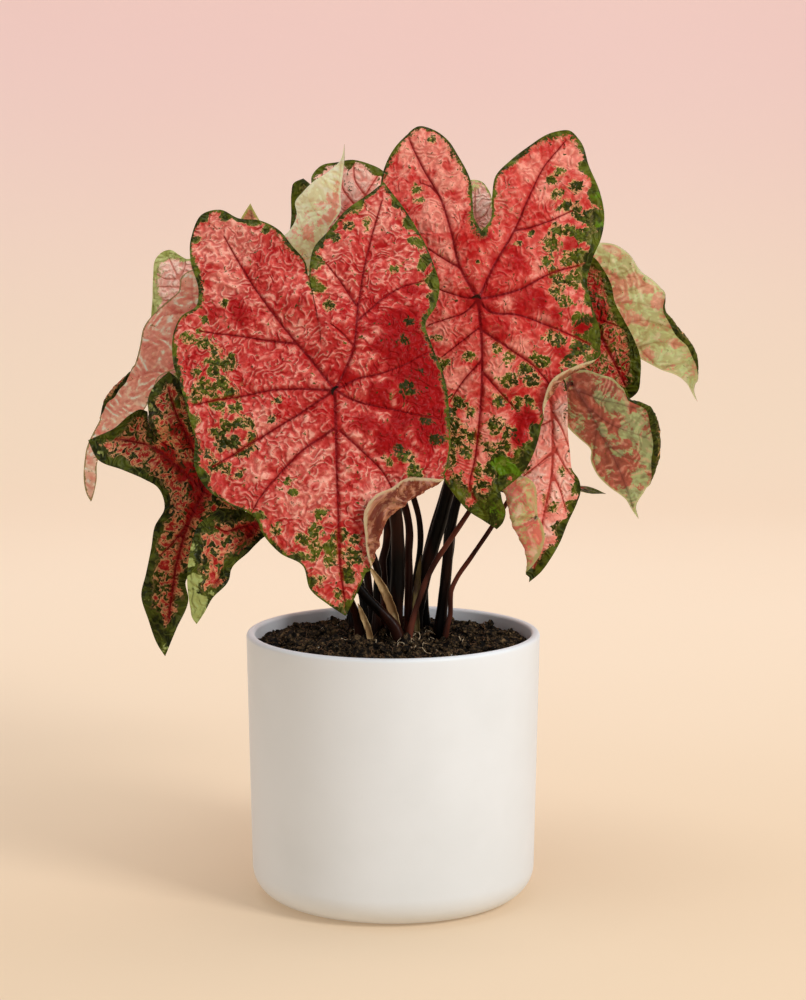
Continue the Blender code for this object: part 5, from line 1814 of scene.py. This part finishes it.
def floor_look():
    """Beige floor that turns rose up the backdrop, with faint clouds."""
    look = Look("floor", 0.9, 0.1)
    split = look.node("SeparateXYZ", {"Vector": look.spot()})
    cloud = look.noise(look.spot(), 1.2, 2.0)
    colour = look.layers(
        FLOOR_NEAR, (split.outputs["Y"], (-0.5, 1.4), FLOOR_FAR),
        (split.outputs["Z"], (0.0, 0.62), WALL_HIGH), (cloud, (0.3, 0.7, 0.0, 0.06), CLOUD_LIGHT),
    )
    look.set(look.shader.inputs["Emission Color"], colour)
    look.shader.inputs["Emission Strength"].default_value = BACKDROP_GLOW
    return look.finish(colour)


def backdrop():
    """A pale floor that sweeps up behind the plant."""
    profile = [(FLOOR_FRONT, 0.0), (0.0, 0.0), (FLOOR_DEEP, 0.0)]
    for turn in np.linspace(0.1, math.pi / 2, 14):
        rise = BACKDROP_BEND * (1 - math.cos(turn))
        profile.append((FLOOR_DEEP + BACKDROP_BEND * math.sin(turn), rise))
    profile.append((FLOOR_DEEP + BACKDROP_BEND, BACKDROP_HIGH))
    points = [(x, y, z) for y, z in profile for x in (-FLOOR_HALF, FLOOR_HALF)]
    faces = [(2 * k, 2 * k + 1, 2 * k + 3, 2 * k + 2) for k in range(len(profile) - 1)]
    mesh = bpy.data.meshes.new("floor")
    mesh.from_pydata(points, [], faces)
    mesh.shade_smooth()
    mesh.materials.append(floor_look())
    floor = placed("floor", mesh)


def world():
    """An even soft light from all round."""
    studio = bpy.data.worlds.new("studio")
    studio.use_nodes = True
    background = studio.node_tree.nodes["Background"]
    background.inputs["Color"].default_value = WORLD_COLOUR
    background.inputs["Strength"].default_value = WORLD_GLOW
    bpy.context.scene.world = studio
    bpy.context.scene.view_settings.view_transform = "Standard"


def camera():
    """The camera where the photo was taken."""
    data = bpy.data.cameras.new("camera")
    data.sensor_fit = "VERTICAL"
    data.sensor_height = SENSOR
    data.lens = FOCAL_PIXELS * SENSOR / PHOTO_HIGH
    made = placed("camera", data)
    made.location = [value * MM for value in CAMERA_AT]
    made.rotation_euler = (math.pi / 2 - CAMERA_PITCH, 0.0, 0.0)
    bpy.context.scene.camera = made


def area_light(name, place, aim, size, power, colour):
    """A square soft light that looks at the plant's axis at some height."""
    data = bpy.data.lights.new(name, "AREA")
    data.energy = power
    data.size = size
    data.color = colour
    light = placed(name, data)
    away = np.array((0.0, 0.0, aim)) - np.array(place)
    flat = math.hypot(away[0], away[1])
    light.location = place
    light.rotation_euler = (math.atan2(flat, -away[2]), 0.0, math.atan2(-away[0], away[1]))


backdrop()
world()
camera()
for light_name, light in LIGHTS.items():
    area_light(light_name, **light)
pot()
soil()
scatter("soil_clods", CLODS, (2.4, 5.6), MATERIALS["soil"], 20, 0.0)
scatter("soil_crumbs", CRUMBS, (0.9, 2.6), MATERIALS["crumb"], 21, 0.25)
scatter("perlite_specks", PERLITE, (0.5, 1.2), MATERIALS["perlite"], 22, 0.7)
threads("root_fibres", ROOTS, (24, 12), 0.27, 3.6, MATERIALS["root"], 5)
threads("soil_fibres", FIBRES, (42, 40), 0.28, 2.4, MATERIALS["fibre"], 6)
for blade_name, blade_style in STYLES.items():
    blade_sheet = blade(blade_name, blade_style)
    if blade_name in TUCKS:
        tuck(blade_sheet, blade_name, **TUCKS[blade_name])
    stem("stem_" + blade_name, MATERIALS[SLOTS["stem_" + blade_name]])
for sheath_name in ("sheath_pale", "sheath_green", "sheath_brown"):
    sheath(sheath_name, MATERIALS[SLOTS[sheath_name]])

dress("tuber", MATERIALS["tuber"])

bpy.context.view_layer.update()
